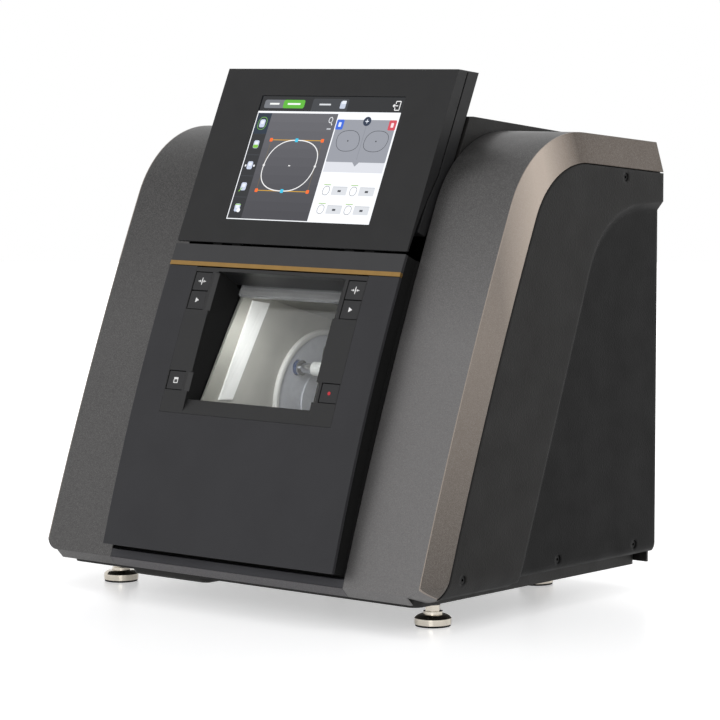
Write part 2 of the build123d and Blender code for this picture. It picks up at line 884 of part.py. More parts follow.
button_sides = {"clamp_left": ("clamp", -1), "start_left": ("start", -1), "door_left": ("door", -1),
                "clamp_right": ("clamp", 1), "start_right": ("start", 1), "stop_right": ("stop", 1)}
button_reach = button_height / 2 + button_play
button_spans = [(button_rises["start"] - button_reach, button_rises["clamp"] + button_reach),
                (button_rises["stop"] - button_reach, button_rises["stop"] + button_reach)]
tunnel_foot = front_point(ledge_high - tunnel_wall, ledge_depth + tunnel_wall)
tunnel_top = front_point(window_top + tunnel_wall, bezel_thick)
tunnel_top_end = door_point(door_rise(tunnel_top), -tunnel_top_gap)
tunnel_front_end = door_point(door_rise(tunnel_foot), -tunnel_back_gap)
with BuildPart() as window_bezel:
    extrude(front_strip(bezel_low, bezel_high, 0, bezel_thick), amount=bezel_half, both=True)
    extrude(front_strip(bezel_low - bezel_skirt, bezel_high, panel_thick + seam, bezel_thick),
            amount=bezel_half + bezel_skirt, both=True)
    extrude(side_face([front_point(bezel_low, panel_thick), tunnel_foot, tunnel_front_end,
                       door_point(door_rise(tunnel_top_end) - tunnel_wall * 2, -tunnel_back_gap),
                       door_point(door_rise(tunnel_top_end) - tunnel_wall * 2, -tunnel_top_gap),
                       tunnel_top_end, front_point(window_top + tunnel_wall, panel_thick)]),
            amount=window_half + tunnel_wall, both=True)
    extrude(side_face([front_point(ledge_low, -cut_over), front_point(ledge_low),
                       front_point(ledge_high, ledge_depth),
                       door_point(door_rise(tunnel_front_end) + tunnel_wall, 0),
                       door_point(door_rise(tunnel_front_end) + tunnel_wall, cut_over),
                       door_point(door_rise(front_point(window_top, bezel_thick)), cut_over),
                       front_point(window_top, bezel_thick), front_point(window_top, -cut_over)]),
            amount=window_half, both=True, mode=Mode.SUBTRACT)
    for name, side in button_sides.values():
        with BuildSketch(front_plane(button_rises[name], bezel_thick - button_floor)):
            with Locations((button_x * side, 0)):
                Rectangle(button_width + button_play * 2, button_height + button_play * 2)
        extrude(amount=bezel_thick + cut_over, mode=Mode.SUBTRACT)
    for low, high in button_spans:
        for side in (-1, 1):
            with BuildSketch(across_front((low + high) / 2)):
                with BuildLine():
                    Polyline((window_half * side, -cut_over), (window_half * side, window_bevel_depth),
                             ((window_half + window_bevel_width) * side, 0),
                             ((window_half + window_bevel_width) * side, -cut_over), close=True)
                make_face()
            extrude(amount=(high - low) / 2, both=True, mode=Mode.SUBTRACT)
finish(window_bezel.part, "window_bezel")

# Buttons
for label, (name, side) in button_sides.items():
    with BuildPart() as button:
        with BuildSketch(button_plane(name)):
            with Locations((button_x * side, 0)):
                RectangleRounded(button_width, button_height, button_edge)
        extrude(amount=-button_thick)
        chamfer(button.faces().sort_by(Axis.Y)[0].edges(), button_edge / 2)
    finish(button.part, "button_" + label)

# Sliding door, its handle bar and its rails
with BuildPart() as sliding_door:
    extrude(door_strip(door_low, door_high, 0, door_thick), amount=door_half, both=True)
    chamfer(sliding_door.faces().sort_by(Axis.Z)[-1].edges().filter_by(Axis.X), door_edge)
finish(sliding_door.part, "sliding_door")

with BuildPart() as door_handle:
    extrude(door_strip(handle_low, handle_high, -handle_thick, 0), amount=handle_half, both=True)
    fillet(door_handle.edges().filter_by(Axis.X).sort_by(Axis.Y)[:1], handle_round)
finish(door_handle.part, "door_handle")

rail_back = door_thick + rail_play + rail_lip
with BuildPart() as door_rails:
    extrude(door_strip(rail_low, rail_high, -rail_play - rail_lip, rail_back, rail_inner),
            amount=door_half - rail_inner + rail_play + rail_web)
    extrude(door_strip(rail_low, rail_high, -rail_play, door_thick + rail_play, rail_inner),
            amount=door_half - rail_inner + rail_play, mode=Mode.SUBTRACT)
    mirror(door_rails.part, about=Plane.YZ)
finish(door_rails.part, "door_rails")

# Chamber: a folded shell between two side walls, with a lug under its ceiling for the feeler
ceiling_fall = (chamber_peak_z - chamber_rear_top) / (chamber_rear_y - chamber_peak_y)
feeler_pivot = Vector(feeler_y, feeler_z)
feeler_lug_top = chamber_peak_z - ceiling_fall * (feeler_y - chamber_peak_y) + chamber_wall / 4
feeler_lug = Vector(feeler_y, feeler_lug_top - feeler_lug_radius)


def chamber_face(grow):
    """Side view of the chamber's room, grown by an amount all round."""
    with BuildSketch(Plane.YZ) as face:
        with BuildLine():
            Polyline(*chamber_outline, close=True)
        make_face()
        if grow:
            offset(amount=grow, kind=Kind.INTERSECTION)
    return face.sketch


def mouth_side():
    """Side view of the chamber's mouth: toe and ceiling run on straight through the door's plane."""
    lip, toe = Vector(*chamber_outline[0]), Vector(*chamber_outline[1])
    peak, rear = Vector(*chamber_outline[-1]), Vector(*chamber_outline[-2])
    low = lip + (lip - toe).normalized() * mouth_reach
    high = peak + (peak - rear).normalized() * mouth_reach
    return side_face([toe, low, high, rear])


door_side = side_face([door_point(door_low - front_length, rail_back),
                       door_point(front_length, rail_back),
                       door_point(front_length, -front_length),
                       door_point(door_low - front_length, -front_length)])
with BuildPart() as chamber_shell:
    extrude(chamber_face(chamber_wall), amount=chamber_half, both=True)
    extrude(chamber_face(0), amount=chamber_half + cut_over, both=True, mode=Mode.SUBTRACT)
    extrude(mouth_side(), amount=chamber_half + cut_over, both=True, mode=Mode.SUBTRACT)
    extrude(door_side, amount=chamber_half + cut_over, both=True, mode=Mode.SUBTRACT)
    extrude(hull_face([(feeler_pivot, feeler_lug_radius), (feeler_lug, feeler_lug_radius)],
                      feeler_lug_x), amount=feeler_lug_thick)
    extrude(disc_face(feeler_pivot, feeler_rod_radius + shaft_fit, feeler_lug_x),
            amount=feeler_lug_thick, mode=Mode.SUBTRACT)
finish(chamber_shell.part, "chamber_shell")

swing = Vector(swing_y, swing_z)
lens = Vector(lens_y, lens_z)
wheel = Vector(wheel_y, wheel_z)
disc_hole = disc_neck_radius + disc_neck_play


def chamber_side(side, spindle_hole):
    """A flat chamber wall with the seal disc's hole, on one side."""
    with BuildPart() as wall:
        extrude(chamber_face(chamber_wall), amount=(chamber_half + chamber_wall) * side)
        extrude(chamber_face(chamber_wall), amount=chamber_half * side, mode=Mode.SUBTRACT)
        extrude(door_side, amount=(chamber_half + chamber_wall + cut_over) * side, mode=Mode.SUBTRACT)
        extrude(disc_face(swing, disc_hole), amount=front_length * side, mode=Mode.SUBTRACT)
        if spindle_hole:
            extrude(disc_face(wheel, spindle_housing_radius + seam), amount=front_length * side,
                    mode=Mode.SUBTRACT)
    return wall.part


finish(chamber_side(-1, False), "chamber_left_wall")
finish(chamber_side(1, True), "chamber_right_wall")

light_low = door_foot + Vector(light_low_run, -light_low_drop)
light_high = door_foot + Vector(light_high_run, light_high_rise)
light_low_width = (swing_y - disc_radius - light_low.X) * light_low_share
with BuildPart() as chamber_light:
    extrude(side_face([light_low, light_low + Vector(light_low_width, -light_low_fall),
                       light_high + Vector(light_high_width, -light_high_fall), light_high],
                      -chamber_half), amount=light_thick)
    fillet(chamber_light.faces().sort_by(Axis.X)[-1].edges(), light_thick / 2)
finish(chamber_light.part, "chamber_light")


def under_floor(y):
    """Height of the underside of the chamber's sloping floor, less a seam."""
    front, rear = chamber_outline[2:4]
    slope = (rear[1] - front[1]) / (rear[0] - front[0])
    return front[1] + slope * (y - front[0]) - chamber_wall * sqrt(1 + slope ** 2) - seam


with BuildPart() as floor_webs:
    for side in (-1, 1):
        extrude(side_face([(web_front, pan_bottom + pan_thick), (web_rear, pan_bottom + pan_thick),
                           (web_rear, under_floor(web_rear)), (web_front, under_floor(web_front))],
                          web_half * side), amount=-web_thick * side)


# Seal discs: each turns in a chamber wall round the swing axis and lets a lens shaft through
def seal_disc(side):
    """Beaded disc with a neck through the wall, a retaining lip outside and a shaft hole."""
    inside = chamber_half - disc_face_gap
    outside = chamber_half + chamber_wall + disc_face_gap
    with BuildPart() as disc:
        with BuildSketch(Plane.XY) as half:
            with BuildLine():
                Polyline((0, inside), (disc_radius, inside), (disc_radius, inside - disc_bead),
                         (disc_radius - disc_bead_width, inside - disc_bead),
                         (disc_radius - disc_bead_width, inside - disc_plate),
                         (disc_hub_radius, inside - disc_plate),
                         (disc_hub_radius, inside - disc_plate - disc_hub_rise),
                         (0, inside - disc_plate - disc_hub_rise), close=True)
            make_face()
            with BuildLine():
                Polyline((0, inside), (disc_neck_radius, inside), (disc_neck_radius, outside),
                         (disc_lip_radius, outside), (disc_lip_radius, outside + disc_lip_thick),
                         (0, outside + disc_lip_thick), close=True)
            make_face()
        revolve(axis=Axis.Y)
        rim = disc.edges().filter_by(GeomType.CIRCLE).group_by(Axis.Y)[0]
        fillet(rim, disc_bead_width / 3)
    turned = Rot(0, 0, -90) * disc.part
    placed = Pos(0, swing_y, swing_z) * turned
    with BuildPart() as pierced:
        add(placed)
        extrude(disc_face(lens, shaft_radius + shaft_play), amount=front_length, both=True,
                mode=Mode.SUBTRACT)
    if side > 0:
        return pierced.part
    with BuildPart() as other:
        mirror(pierced.part, about=Plane.YZ)
    return other.part


finish(seal_disc(-1), "left_seal_disc")
finish(seal_disc(1), "right_seal_disc")


# Wheels on their spindle
def wheel_place(index):
    """Place along X of a wheel's left face."""
    return wheel_stack_x + (wheel_width + wheel_gap) * index


def grinding_wheel(index, name, grooves):
    """A wheel with shares of its width marking the bevel grooves cut in its rim."""
    start = wheel_place(index)
    with BuildPart() as body:
        extrude(disc_face(wheel, wheel_radius, start), amount=wheel_width)
        fillet(body.edges().filter_by(GeomType.CIRCLE), wheel_round)
        extrude(disc_face(wheel, wheel_bore, start - cut_over), amount=wheel_width + cut_over * 2,
                mode=Mode.SUBTRACT)
        for share in grooves:
            middle = start + wheel_width * share
            with BuildSketch(Plane.XY.offset(wheel_z)):
                with BuildLine():
                    Polyline((middle - wheel_groove_half, wheel_y + wheel_radius + seam),
                             (middle, wheel_y + wheel_radius - wheel_groove_depth),
                             (middle + wheel_groove_half, wheel_y + wheel_radius + seam), close=True)
                make_face()
            revolve(axis=Axis((0, wheel_y, wheel_z), (1, 0, 0)), mode=Mode.SUBTRACT)
    finish(body.part, name)


bevel_groove_shares = [0.3, 0.7]
polish_groove_shares = [0.25]
grinding_wheel(0, "roughing_wheel", [])
grinding_wheel(1, "bevel_wheel", bevel_groove_shares)
grinding_wheel(2, "polishing_wheel", polish_groove_shares)

stack_end = wheel_place(2) + wheel_width
pulley_end = pulley_x + pulley_width


def turned_steps(place, steps):
    """A turned piece along X from steps of start, end and radius."""
    with BuildPart() as piece:
        for start, end, radius in steps:
            extrude(disc_face(place, radius, start), amount=end - start)
    return piece.part


with BuildPart() as wheel_spindle:
    add(turned_steps(wheel, [
        (wheel_stack_x - spindle_nut_thick, pulley_end + pulley_lip_thick, spindle_radius),
        (wheel_stack_x - spindle_nut_thick, wheel_stack_x, spindle_nut_radius),
        (wheel_stack_x, stack_end, wheel_bore),
        (stack_end, stack_end + spindle_flange_thick, spindle_flange_radius),
        (pulley_x, pulley_end, spindle_pulley_radius),
        (pulley_x - pulley_lip_thick, pulley_x, spindle_pulley_radius + pulley_lip),
        (pulley_end, pulley_end + pulley_lip_thick, spindle_pulley_radius + pulley_lip)]))
    for index in range(2):
        extrude(disc_face(wheel, wheel_bore + wheel_gap, wheel_place(index) + wheel_width),
                amount=wheel_gap)
finish(wheel_spindle.part, "wheel_spindle")

housing_flange_x = chamber_half + chamber_wall
bearing_starts = (chamber_half, spindle_housing_end - bearing_width)
with BuildPart() as spindle_housing:
    add(turned_steps(wheel, [(chamber_half, spindle_housing_end, spindle_housing_radius),
                             (housing_flange_x, housing_flange_x + spindle_flange_plate,
                              spindle_housing_flange)]))
    for start in bearing_starts:
        extrude(disc_face(wheel, bearing_radius, start), amount=bearing_width, mode=Mode.SUBTRACT)
    extrude(disc_face(wheel, spindle_radius + pulley_lip, chamber_half - cut_over),
            amount=spindle_housing_length + cut_over * 2, mode=Mode.SUBTRACT)
    with BuildSketch(Plane.YZ.offset(housing_flange_x + spindle_flange_plate)):
        with Locations(flat(wheel)):
            with PolarLocations((spindle_housing_radius + spindle_housing_flange) / 2,
                                spindle_flange_bolts, start_angle=180 / spindle_flange_bolts):
                Circle(screw_hole_radius)
    extrude(amount=-spindle_flange_plate, mode=Mode.SUBTRACT)
finish(spindle_housing.part, "spindle_housing")

with BuildPart() as spindle_bearings:
    for start in bearing_starts:
        extrude(disc_face(wheel, bearing_radius, start), amount=bearing_width)
        extrude(disc_face(wheel, spindle_radius + shaft_fit, start), amount=bearing_width,
                mode=Mode.SUBTRACT)
finish(spindle_bearings.part, "spindle_bearings")

# Motor, its pulley and the belt
motor = Vector(motor_y, motor_z)
motor_foot_z = pan_bottom + pan_thick
with BuildPart() as grinding_motor:
    extrude(disc_face(motor, motor_radius, motor_low_x), amount=motor_high_x - motor_low_x)
    fillet(grinding_motor.edges().filter_by(GeomType.CIRCLE), motor_cap / 2)
    fin_room = motor_high_x - motor_low_x - motor_cap * 2
    for index in range(motor_fin_count):
        turn = 360 / motor_fin_count * (index + 0.5)
        with BuildSketch(Plane.YZ.offset(motor_low_x + motor_cap)):
            with Locations(Location(flat(motor + polar(motor_radius, turn)), turn)):
                Rectangle(motor_fin_depth * 2, motor_fin_width)
        extrude(amount=fin_room, mode=Mode.SUBTRACT)
    with BuildSketch(Plane.XY.offset(motor_foot_z)):
        with Locations(((motor_low_x + motor_high_x) / 2, motor_y)):
            Rectangle(fin_room, motor_foot_half * 2)
    extrude(amount=motor_foot_wall)
    with BuildSketch(Plane.XY.offset(motor_foot_z)):
        with Locations(((motor_low_x + motor_high_x) / 2, motor_y)):
            Rectangle(fin_room - motor_cap, motor_foot_half)
    extrude(amount=motor_z - motor_radius - motor_foot_z + motor_fin_depth * 2)
    extrude(disc_face(motor, motor_shaft_radius + shaft_fit, motor_low_x - cut_over),
            amount=motor_cap * 3 + cut_over, mode=Mode.SUBTRACT)
finish(grinding_motor.part, "grinding_motor")

with BuildPart() as motor_pulley:
    add(turned_steps(motor, [
        (pulley_x - pulley_lip_thick, motor_low_x + motor_cap * 3 - seam, motor_shaft_radius),
        (pulley_x, pulley_end, motor_pulley_radius),
        (pulley_x - pulley_lip_thick, pulley_x, motor_pulley_radius + pulley_lip),
        (pulley_end, pulley_end + pulley_lip_thick, motor_pulley_radius + pulley_lip)]))
finish(motor_pulley.part, "motor_pulley")

with BuildPart() as drive_belt:
    for grow, mode in ((belt_play + belt_thick, Mode.ADD), (belt_play, Mode.SUBTRACT)):
        extrude(hull_face([(wheel, spindle_pulley_radius + grow), (motor, motor_pulley_radius + grow)],
                          pulley_x + belt_play), amount=pulley_width - belt_play * 2, mode=mode)
finish(drive_belt.part, "drive_belt")

# Traverse: a yoke that slides along two rods behind the chamber
right_yoke_x = right_arm_x + arm_thick + yoke_gap
beam_rear = beam_front + beam_thick
beam_middle = beam_front + beam_thick / 2
with BuildPart() as traverse_yoke:
    with BuildSketch(Plane.YZ.offset(left_yoke_x)):
        with Locations(((beam_front + beam_rear) / 2, (beam_low + beam_high) / 2)):
            Rectangle(beam_thick, beam_high - beam_low)
    extrude(amount=right_yoke_x + yoke_plate - left_yoke_x)
    for start in (left_yoke_x, right_yoke_x):
        extrude(hull_face([(swing, yoke_boss_radius),
                           (Vector(beam_middle, swing_z), beam_thick / 2)], start), amount=yoke_plate)
    extrude(disc_face(swing, swing_pin_radius, left_yoke_x),
            amount=yoke_plate + yoke_gap + arm_thick + yoke_gap / 2)
    extrude(disc_face(swing, swing_pin_radius, right_arm_x - yoke_gap / 2),
            amount=yoke_plate + yoke_gap + arm_thick)
    for rise in rod_rises:
        extrude(disc_face(Vector(beam_middle, rise), rod_radius + shaft_fit, left_yoke_x - cut_over),
                amount=right_yoke_x + yoke_plate - left_yoke_x + cut_over * 2, mode=Mode.SUBTRACT)
finish(traverse_yoke.part, "traverse_yoke")

with BuildPart() as guide_rods:
    for rise in rod_rises:
        extrude(disc_face(Vector(beam_middle, rise), rod_radius), amount=rod_half, both=True)
finish(guide_rods.part, "guide_rods")

bracket_top = rod_rises[1] + bracket_over
with BuildPart() as rod_brackets:
    with BuildSketch(Plane.YZ.offset(rod_half - bracket_thick)):
        with Locations((beam_middle, (bracket_top + motor_foot_z) / 2)):
            RectangleRounded(bracket_width, bracket_top - motor_foot_z, bracket_thick / 2)
    extrude(amount=bracket_thick)
    with BuildSketch(Plane.XY.offset(motor_foot_z)):
        with Locations((rod_half - bracket_thick * 2, beam_middle)):
            Rectangle(bracket_thick * 4, bracket_width)
    extrude(amount=bracket_thick / 2)
    for rise in rod_rises:
        extrude(disc_face(Vector(beam_middle, rise), rod_radius, rod_half - bracket_thick),
                amount=bracket_thick, mode=Mode.SUBTRACT)
    mirror(rod_brackets.part, about=Plane.YZ)

with BuildPart() as inner_frame:
    add(floor_webs.part)
    add(rod_brackets.part)
finish(inner_frame.part, "inner_frame")

# Carriage: two arms joined by a bridge tube over the chamber, swinging about the pins
bridge = swing + Vector(bridge_run, bridge_rise)
with BuildPart() as carriage_frame:
    for start in (left_arm_x, right_arm_x):
        for end in (lens, bridge):
            extrude(hull_face([(swing, arm_end_radius), (end, arm_end_radius)], start), amount=arm_thick)
    extrude(disc_face(bridge, bridge_radius, left_arm_x), amount=right_arm_x + arm_thick - left_arm_x)
    for place, radius in ((swing, swing_pin_radius), (lens, shaft_radius)):
        for start in (left_arm_x, right_arm_x):
            extrude(disc_face(place, radius + shaft_fit, start), amount=arm_thick, mode=Mode.SUBTRACT)
finish(carriage_frame.part, "carriage_frame")

# Lens shafts
with BuildPart() as left_lens_shaft:
    add(turned_steps(lens, [(left_shaft_end, left_sleeve_tip, shaft_radius),
                            (left_sleeve_tip, left_chuck_tip, chuck_radius)]))
    with BuildSketch(Plane.YZ.offset(left_shaft_end)):
        with Locations(flat(lens)):
            Circle(gear_radius - gear_tooth_depth)
            with PolarLocations(gear_radius - gear_tooth_depth, gear_teeth):
                Trapezoid(gear_tooth_depth, gear_tooth_depth * 2, gear_tooth_tilt, rotation=-90)
    extrude(amount=gear_thick)
finish(left_lens_shaft.part, "left_lens_shaft")

with BuildPart() as left_lens_cup:
    add(turned_steps(lens, [(left_chuck_tip, left_cup_tip, cup_radius)]))
    fillet(left_lens_cup.faces().sort_by(Axis.X)[0].edges(), cup_notch / 2)
    with BuildSketch(Plane.YZ.offset(left_cup_tip)):
        with Locations(flat(lens)):
            Rectangle(cup_notch, cup_radius * 2 + cut_over)
    extrude(amount=-cup_notch, mode=Mode.SUBTRACT)
finish(left_lens_cup.part, "left_lens_cup")

with BuildPart() as right_quill:
    add(turned_steps(lens, [(quill_low, quill_high, quill_radius)]))
    extrude(disc_face(lens, shaft_radius + shaft_fit, quill_low - cut_over),
            amount=quill_high - quill_low + cut_over * 2, mode=Mode.SUBTRACT)
finish(right_quill.part, "right_quill")

pad_back = right_pad_tip + right_pad_thick
with BuildPart() as right_lens_shaft:
    add(turned_steps(lens, [(pad_back, right_shaft_end, shaft_radius),
                            (quill_high + seam, right_shaft_end, quill_radius)]))
finish(right_lens_shaft.part, "right_lens_shaft")

with BuildPart() as right_lens_pad:
    add(turned_steps(lens, [(right_pad_tip, pad_back, shaft_radius)]))
    fillet(right_lens_pad.faces().sort_by(Axis.X)[0].edges(), right_pad_round)
finish(right_lens_pad.part, "right_lens_pad")

# Feeler arm on its own rod, under the chamber's ceiling
feeler_hook = feeler_pivot + Vector(-feeler_reach, feeler_tip_radius - feeler_drop)
feeler_end = feeler_hook + Vector(-feeler_tip_radius, -feeler_drop / 2)
with BuildPart() as feeler_arm:
    extrude(disc_face(feeler_pivot, feeler_rod_radius, feeler_x),
            amount=feeler_lug_x + feeler_lug_thick + feeler_tip_radius - feeler_x)
    extrude(hull_face([(feeler_pivot, feeler_arm_radius), (feeler_hook, feeler_elbow_radius)],
                      feeler_x), amount=feeler_width)
    extrude(hull_face([(feeler_hook, feeler_elbow_radius), (feeler_end, feeler_tip_radius)],
                      feeler_x), amount=feeler_width)
    extrude(disc_face(feeler_end, feeler_stylus_radius, feeler_x + feeler_width),
            amount=feeler_tip_length)
finish(feeler_arm.part, "feeler_arm")

# Display
display_along = Vector(sin(radians(display_tilt)), cos(radians(display_tilt)))
display_in = Vector(cos(radians(display_tilt)), -sin(radians(display_tilt)))
display_foot = front_point(front_length) + Vector(display_gap / 2, display_gap)


def display_point(rise, inset=0):
    """Side view point a given way up the display's face and a given depth behind it."""
    return display_foot + display_along * rise + display_in * inset


display_top = display_point(display_length)
top_fall = tan(radians(display_tilt - display_top_slope))


def display_top_point(inset):
    """Side view point on the display's nearly level top, at a depth behind its face."""
    return display_point(display_length + inset * top_fall, inset)


display_plane = Plane(origin=(0, display_foot.X, display_foot.Y), x_dir=(1, 0, 0),
                      z_dir=(0, -display_in.X, -display_in.Y))
lcd_middle = (lcd_low + lcd_high) / 2
lcd_height = lcd_high - lcd_low
hinge = display_point(hinge_rise, hinge_depth)
with BuildPart() as display_bezel:
    with BuildSketch(Plane.YZ) as bezel_side:
        with BuildLine():
            Polyline(flat(display_foot), flat(display_top), flat(display_top_point(bezel_depth)),
                     flat(display_point(bezel_taper_rise, bezel_depth)))
            Spline(flat(display_point(bezel_taper_rise, bezel_depth)),
                   flat(display_point(bezel_taper_mid_rise, bezel_taper_mid_depth)),
                   flat(display_point(0, bezel_foot_depth)))
            Line(flat(display_point(0, bezel_foot_depth)), flat(display_foot))
        make_face()
    extrude(amount=panel_half, both=True)
    chamfer(display_bezel.faces().sort_by(Axis.Y)[0].edges().filter_by(Axis.X, reverse=True),
            display_edge)
    with BuildSketch(display_plane):
        with Locations((0, lcd_middle)):
            Rectangle(lcd_half * 2, lcd_height)
    extrude(amount=-bezel_depth - cut_over, mode=Mode.SUBTRACT)
    with BuildSketch(display_plane.offset(-lcd_sink)):
        with Locations((0, lcd_middle)):
            Rectangle(lcd_half * 2 + lcd_seat * 2, lcd_height + lcd_seat * 2)
    extrude(amount=-bezel_depth - cut_over, mode=Mode.SUBTRACT)
finish(display_bezel.part, "display_bezel")

with BuildPart() as display_screen:
    with BuildSketch(display_plane.offset(-lcd_sink)):
        with Locations((0, lcd_middle)):
            Rectangle((lcd_half + lcd_seat - seam) * 2, lcd_height + (lcd_seat - seam) * 2)
    extrude(amount=-lcd_thick)
finish(display_screen.part, "display_screen")

shell_front = bezel_depth + groove_width
hinge_root = display_point(shell_low + hinge_arm, shell_low_depth - hinge_knuckle_radius)
with BuildPart() as display_rear_shell:
    with BuildSketch(Plane.YZ) as shell_side:
        with BuildLine():
            Polyline(flat(display_point(bezel_taper_rise, shell_front)),
                     flat(display_top_point(shell_front)), flat(display_top_point(display_depth)),
                     flat(display_point(shell_full_rise, display_depth)),
                     flat(display_point(shell_low, shell_low_depth)),
                     flat(display_point(shell_low, hinge_depth)),
                     flat(display_point(bezel_taper_mid_rise, bezel_taper_mid_depth + groove_width)),
                     close=True)
        make_face()
    extrude(amount=panel_half, both=True)
    with BuildSketch(Plane.YZ) as shell_core:
        with BuildLine():
            Polyline(flat(display_point(bezel_taper_rise, shell_front - groove_width * 2)),
                     flat(display_point(display_length - display_wall, shell_front - groove_width * 2)),
                     flat(display_point(display_length - display_wall, display_depth - display_wall)),
                     flat(display_point(shell_full_rise, display_depth - display_wall)),
                     flat(display_point(shell_low + display_wall, shell_low_depth - display_wall)),
                     flat(display_point(bezel_taper_mid_rise, bezel_taper_mid_depth)), close=True)
        make_face()
    extrude(amount=panel_half - display_wall, both=True, mode=Mode.SUBTRACT)
    with BuildSketch(display_plane.offset(-lcd_sink - lcd_thick - seam)):
        with Locations((0, lcd_middle + bezel_taper_rise / 3)):
            Rectangle(lcd_half, lcd_height / 2)
    extrude(amount=-(display_depth - lcd_sink - lcd_thick - seam - display_wall / 2))
    for side in (-1, 1):
        extrude(hull_face([(hinge, hinge_knuckle_radius), (hinge_root, hinge_knuckle_radius)],
                          hinge_x * side), amount=hinge_width / 2, both=True)
    extrude(disc_face(hinge, hinge_pin_radius + hinge_fit), amount=panel_half, both=True,
            mode=Mode.SUBTRACT)
finish(display_rear_shell.part, "display_rear_shell")

hinge_pin_start = hinge_x - hinge_pin_length / 2
with BuildPart() as hinge_pins:
    for side in (-1, 1):
        extrude(disc_face(hinge, hinge_pin_radius, hinge_pin_start * side),
                amount=hinge_pin_length * side)
finish(hinge_pins.part, "hinge_pins")

frame_shelf = panel_thick + frame_cross_depth + seam
bracket_foot = front_point(front_length - header_gap - hinge_knuckle_radius * 2,
                           frame_shelf + hinge_knuckle_radius / 2)
with BuildPart() as hinge_brackets:
    for side in (-1, 1):
        for shift in (-1, 1):
            middle = hinge_x * side + (hinge_width + seam) * shift
            extrude(hull_face([(hinge, hinge_knuckle_radius), (bracket_foot, hinge_knuckle_radius)],
                              middle), amount=hinge_width / 2 - seam, both=True)
        extrude(disc_face(bracket_foot, hinge_knuckle_radius, hinge_pin_start * side),
                amount=hinge_pin_length * side)
    extrude(disc_face(hinge, hinge_pin_radius), amount=panel_half, both=True, mode=Mode.SUBTRACT)
    extrude(front_strip(0, front_length, -cut_over, frame_shelf), amount=panel_half, both=True,
            mode=Mode.SUBTRACT)
finish(hinge_brackets.part, "hinge_brackets")

# Top cover: raised between the wings, its front face follows the display's back
top_inset = display_depth + top_gap
top_foot = display_point(0, top_inset)
top_low = display_point((top_low_z - top_foot.Y) / display_along.Y, top_inset)
top_front = display_point((top_front_z - top_foot.Y) / display_along.Y, top_inset)
top_rear_z = top_front.Y - (half_depth - top_front.X - top_flat) * tan(radians(top_cover_slope))
top_hip_y = shoulder_top.X
with BuildPart() as top_cover:
    extrude(side_face([top_low, top_front, top_front + Vector(top_flat, 0), (half_depth, top_rear_z),
                       (half_depth, rear_top + seam), (top_hip_y, rear_top + seam),
                       top_low + Vector(top_skirt, 0)]), amount=top_half, both=True)
    fillet(top_cover.edges().filter_by(Axis.X).sort_by(Axis.Z)[-2:], top_round)
    extrude(side_face([top_low + Vector(skin, -cut_over), top_front + Vector(skin, -skin),
                       top_front + Vector(top_flat, -skin), (half_depth - skin, top_rear_z - skin),
                       (half_depth - skin, rear_top - cut_over), (top_hip_y, rear_top - cut_over * 2),
                       (top_hip_y, top_low_z - cut_over)]),
            amount=top_half - skin, both=True, mode=Mode.SUBTRACT)
finish(top_cover.part, "top_cover")

# Rear cover with vents
with BuildPart() as rear_cover:
    with BuildSketch(Plane.XZ.offset(-half_depth)):
        with Locations((0, (rear_top + pan_bottom + pan_thick) / 2)):
            Rectangle(rear_half * 2, rear_top - pan_bottom - pan_thick)
    extrude(amount=rear_thick)
    with BuildSketch(Plane.XZ.offset(-half_depth - cut_over)):
        for side in (-1, 1):
            with Locations((vent_x * side, vent_z)):
                with GridLocations(0, vent_pitch, 1, vent_count):
                    SlotOverall(vent_length, vent_height)
        with Locations((inlet_x, inlet_z)):
            Rectangle(inlet_width - inlet_face * 4, inlet_height - inlet_face)
        with Locations((switch_x, inlet_z)):
            Rectangle(switch_width - switch_frame, switch_height - switch_frame)
        with Locations((fitting_x, fitting_z), (fitting_x + fitting_pitch, fitting_z)):
            Circle(fitting_radius)
    extrude(amount=rear_thick + cut_over * 2, mode=Mode.SUBTRACT)
finish(rear_cover.part, "rear_cover")


def rear_block(x, z, wide, high, start, thick):
    """A block on the rear cover, from a distance behind the outside face inwards."""
    with BuildPart() as block:
        with BuildSketch(Plane.XZ.offset(start - half_depth)):
            with Locations((x, z)):
                Rectangle(wide, high)
        extrude(amount=thick)
    return block.part


rocker_axis_y = half_depth - switch_body_depth / 2
rocker_axis = Vector(rocker_axis_y, inlet_z)
rocker_pin_half = rocker_width / 2 + rocker_pin_over
with BuildPart() as power_inlet:
    add(rear_block(inlet_x, inlet_z, inlet_width - inlet_face * 4 - seam,
                   inlet_height - inlet_face - seam, 0, inlet_body_depth))
    add(rear_block(inlet_x, inlet_z, inlet_socket_width, inlet_socket_height, 0, inlet_socket_depth),
        mode=Mode.SUBTRACT)
    for shift in (-1, 0, 1):
        add(rear_block(inlet_x + inlet_pin_pitch * shift, inlet_z + inlet_pin * (shift ** 2), inlet_pin,
                       inlet_pin * 2, inlet_socket_depth - inlet_pin_length, inlet_pin_length))
    add(rear_block(switch_x, inlet_z, switch_width - switch_frame - seam,
                   switch_height - switch_frame - seam, 0, switch_body_depth))
    add(rear_block(switch_x, inlet_z, rocker_width + seam * 2, rocker_height + seam * 2, 0,
                   switch_body_depth - switch_frame), mode=Mode.SUBTRACT)
    extrude(disc_face(rocker_axis, rocker_pin_radius + rocker_fit, switch_x),
            amount=rocker_pin_half + seam, both=True, mode=Mode.SUBTRACT)
finish(power_inlet.part, "power_inlet")

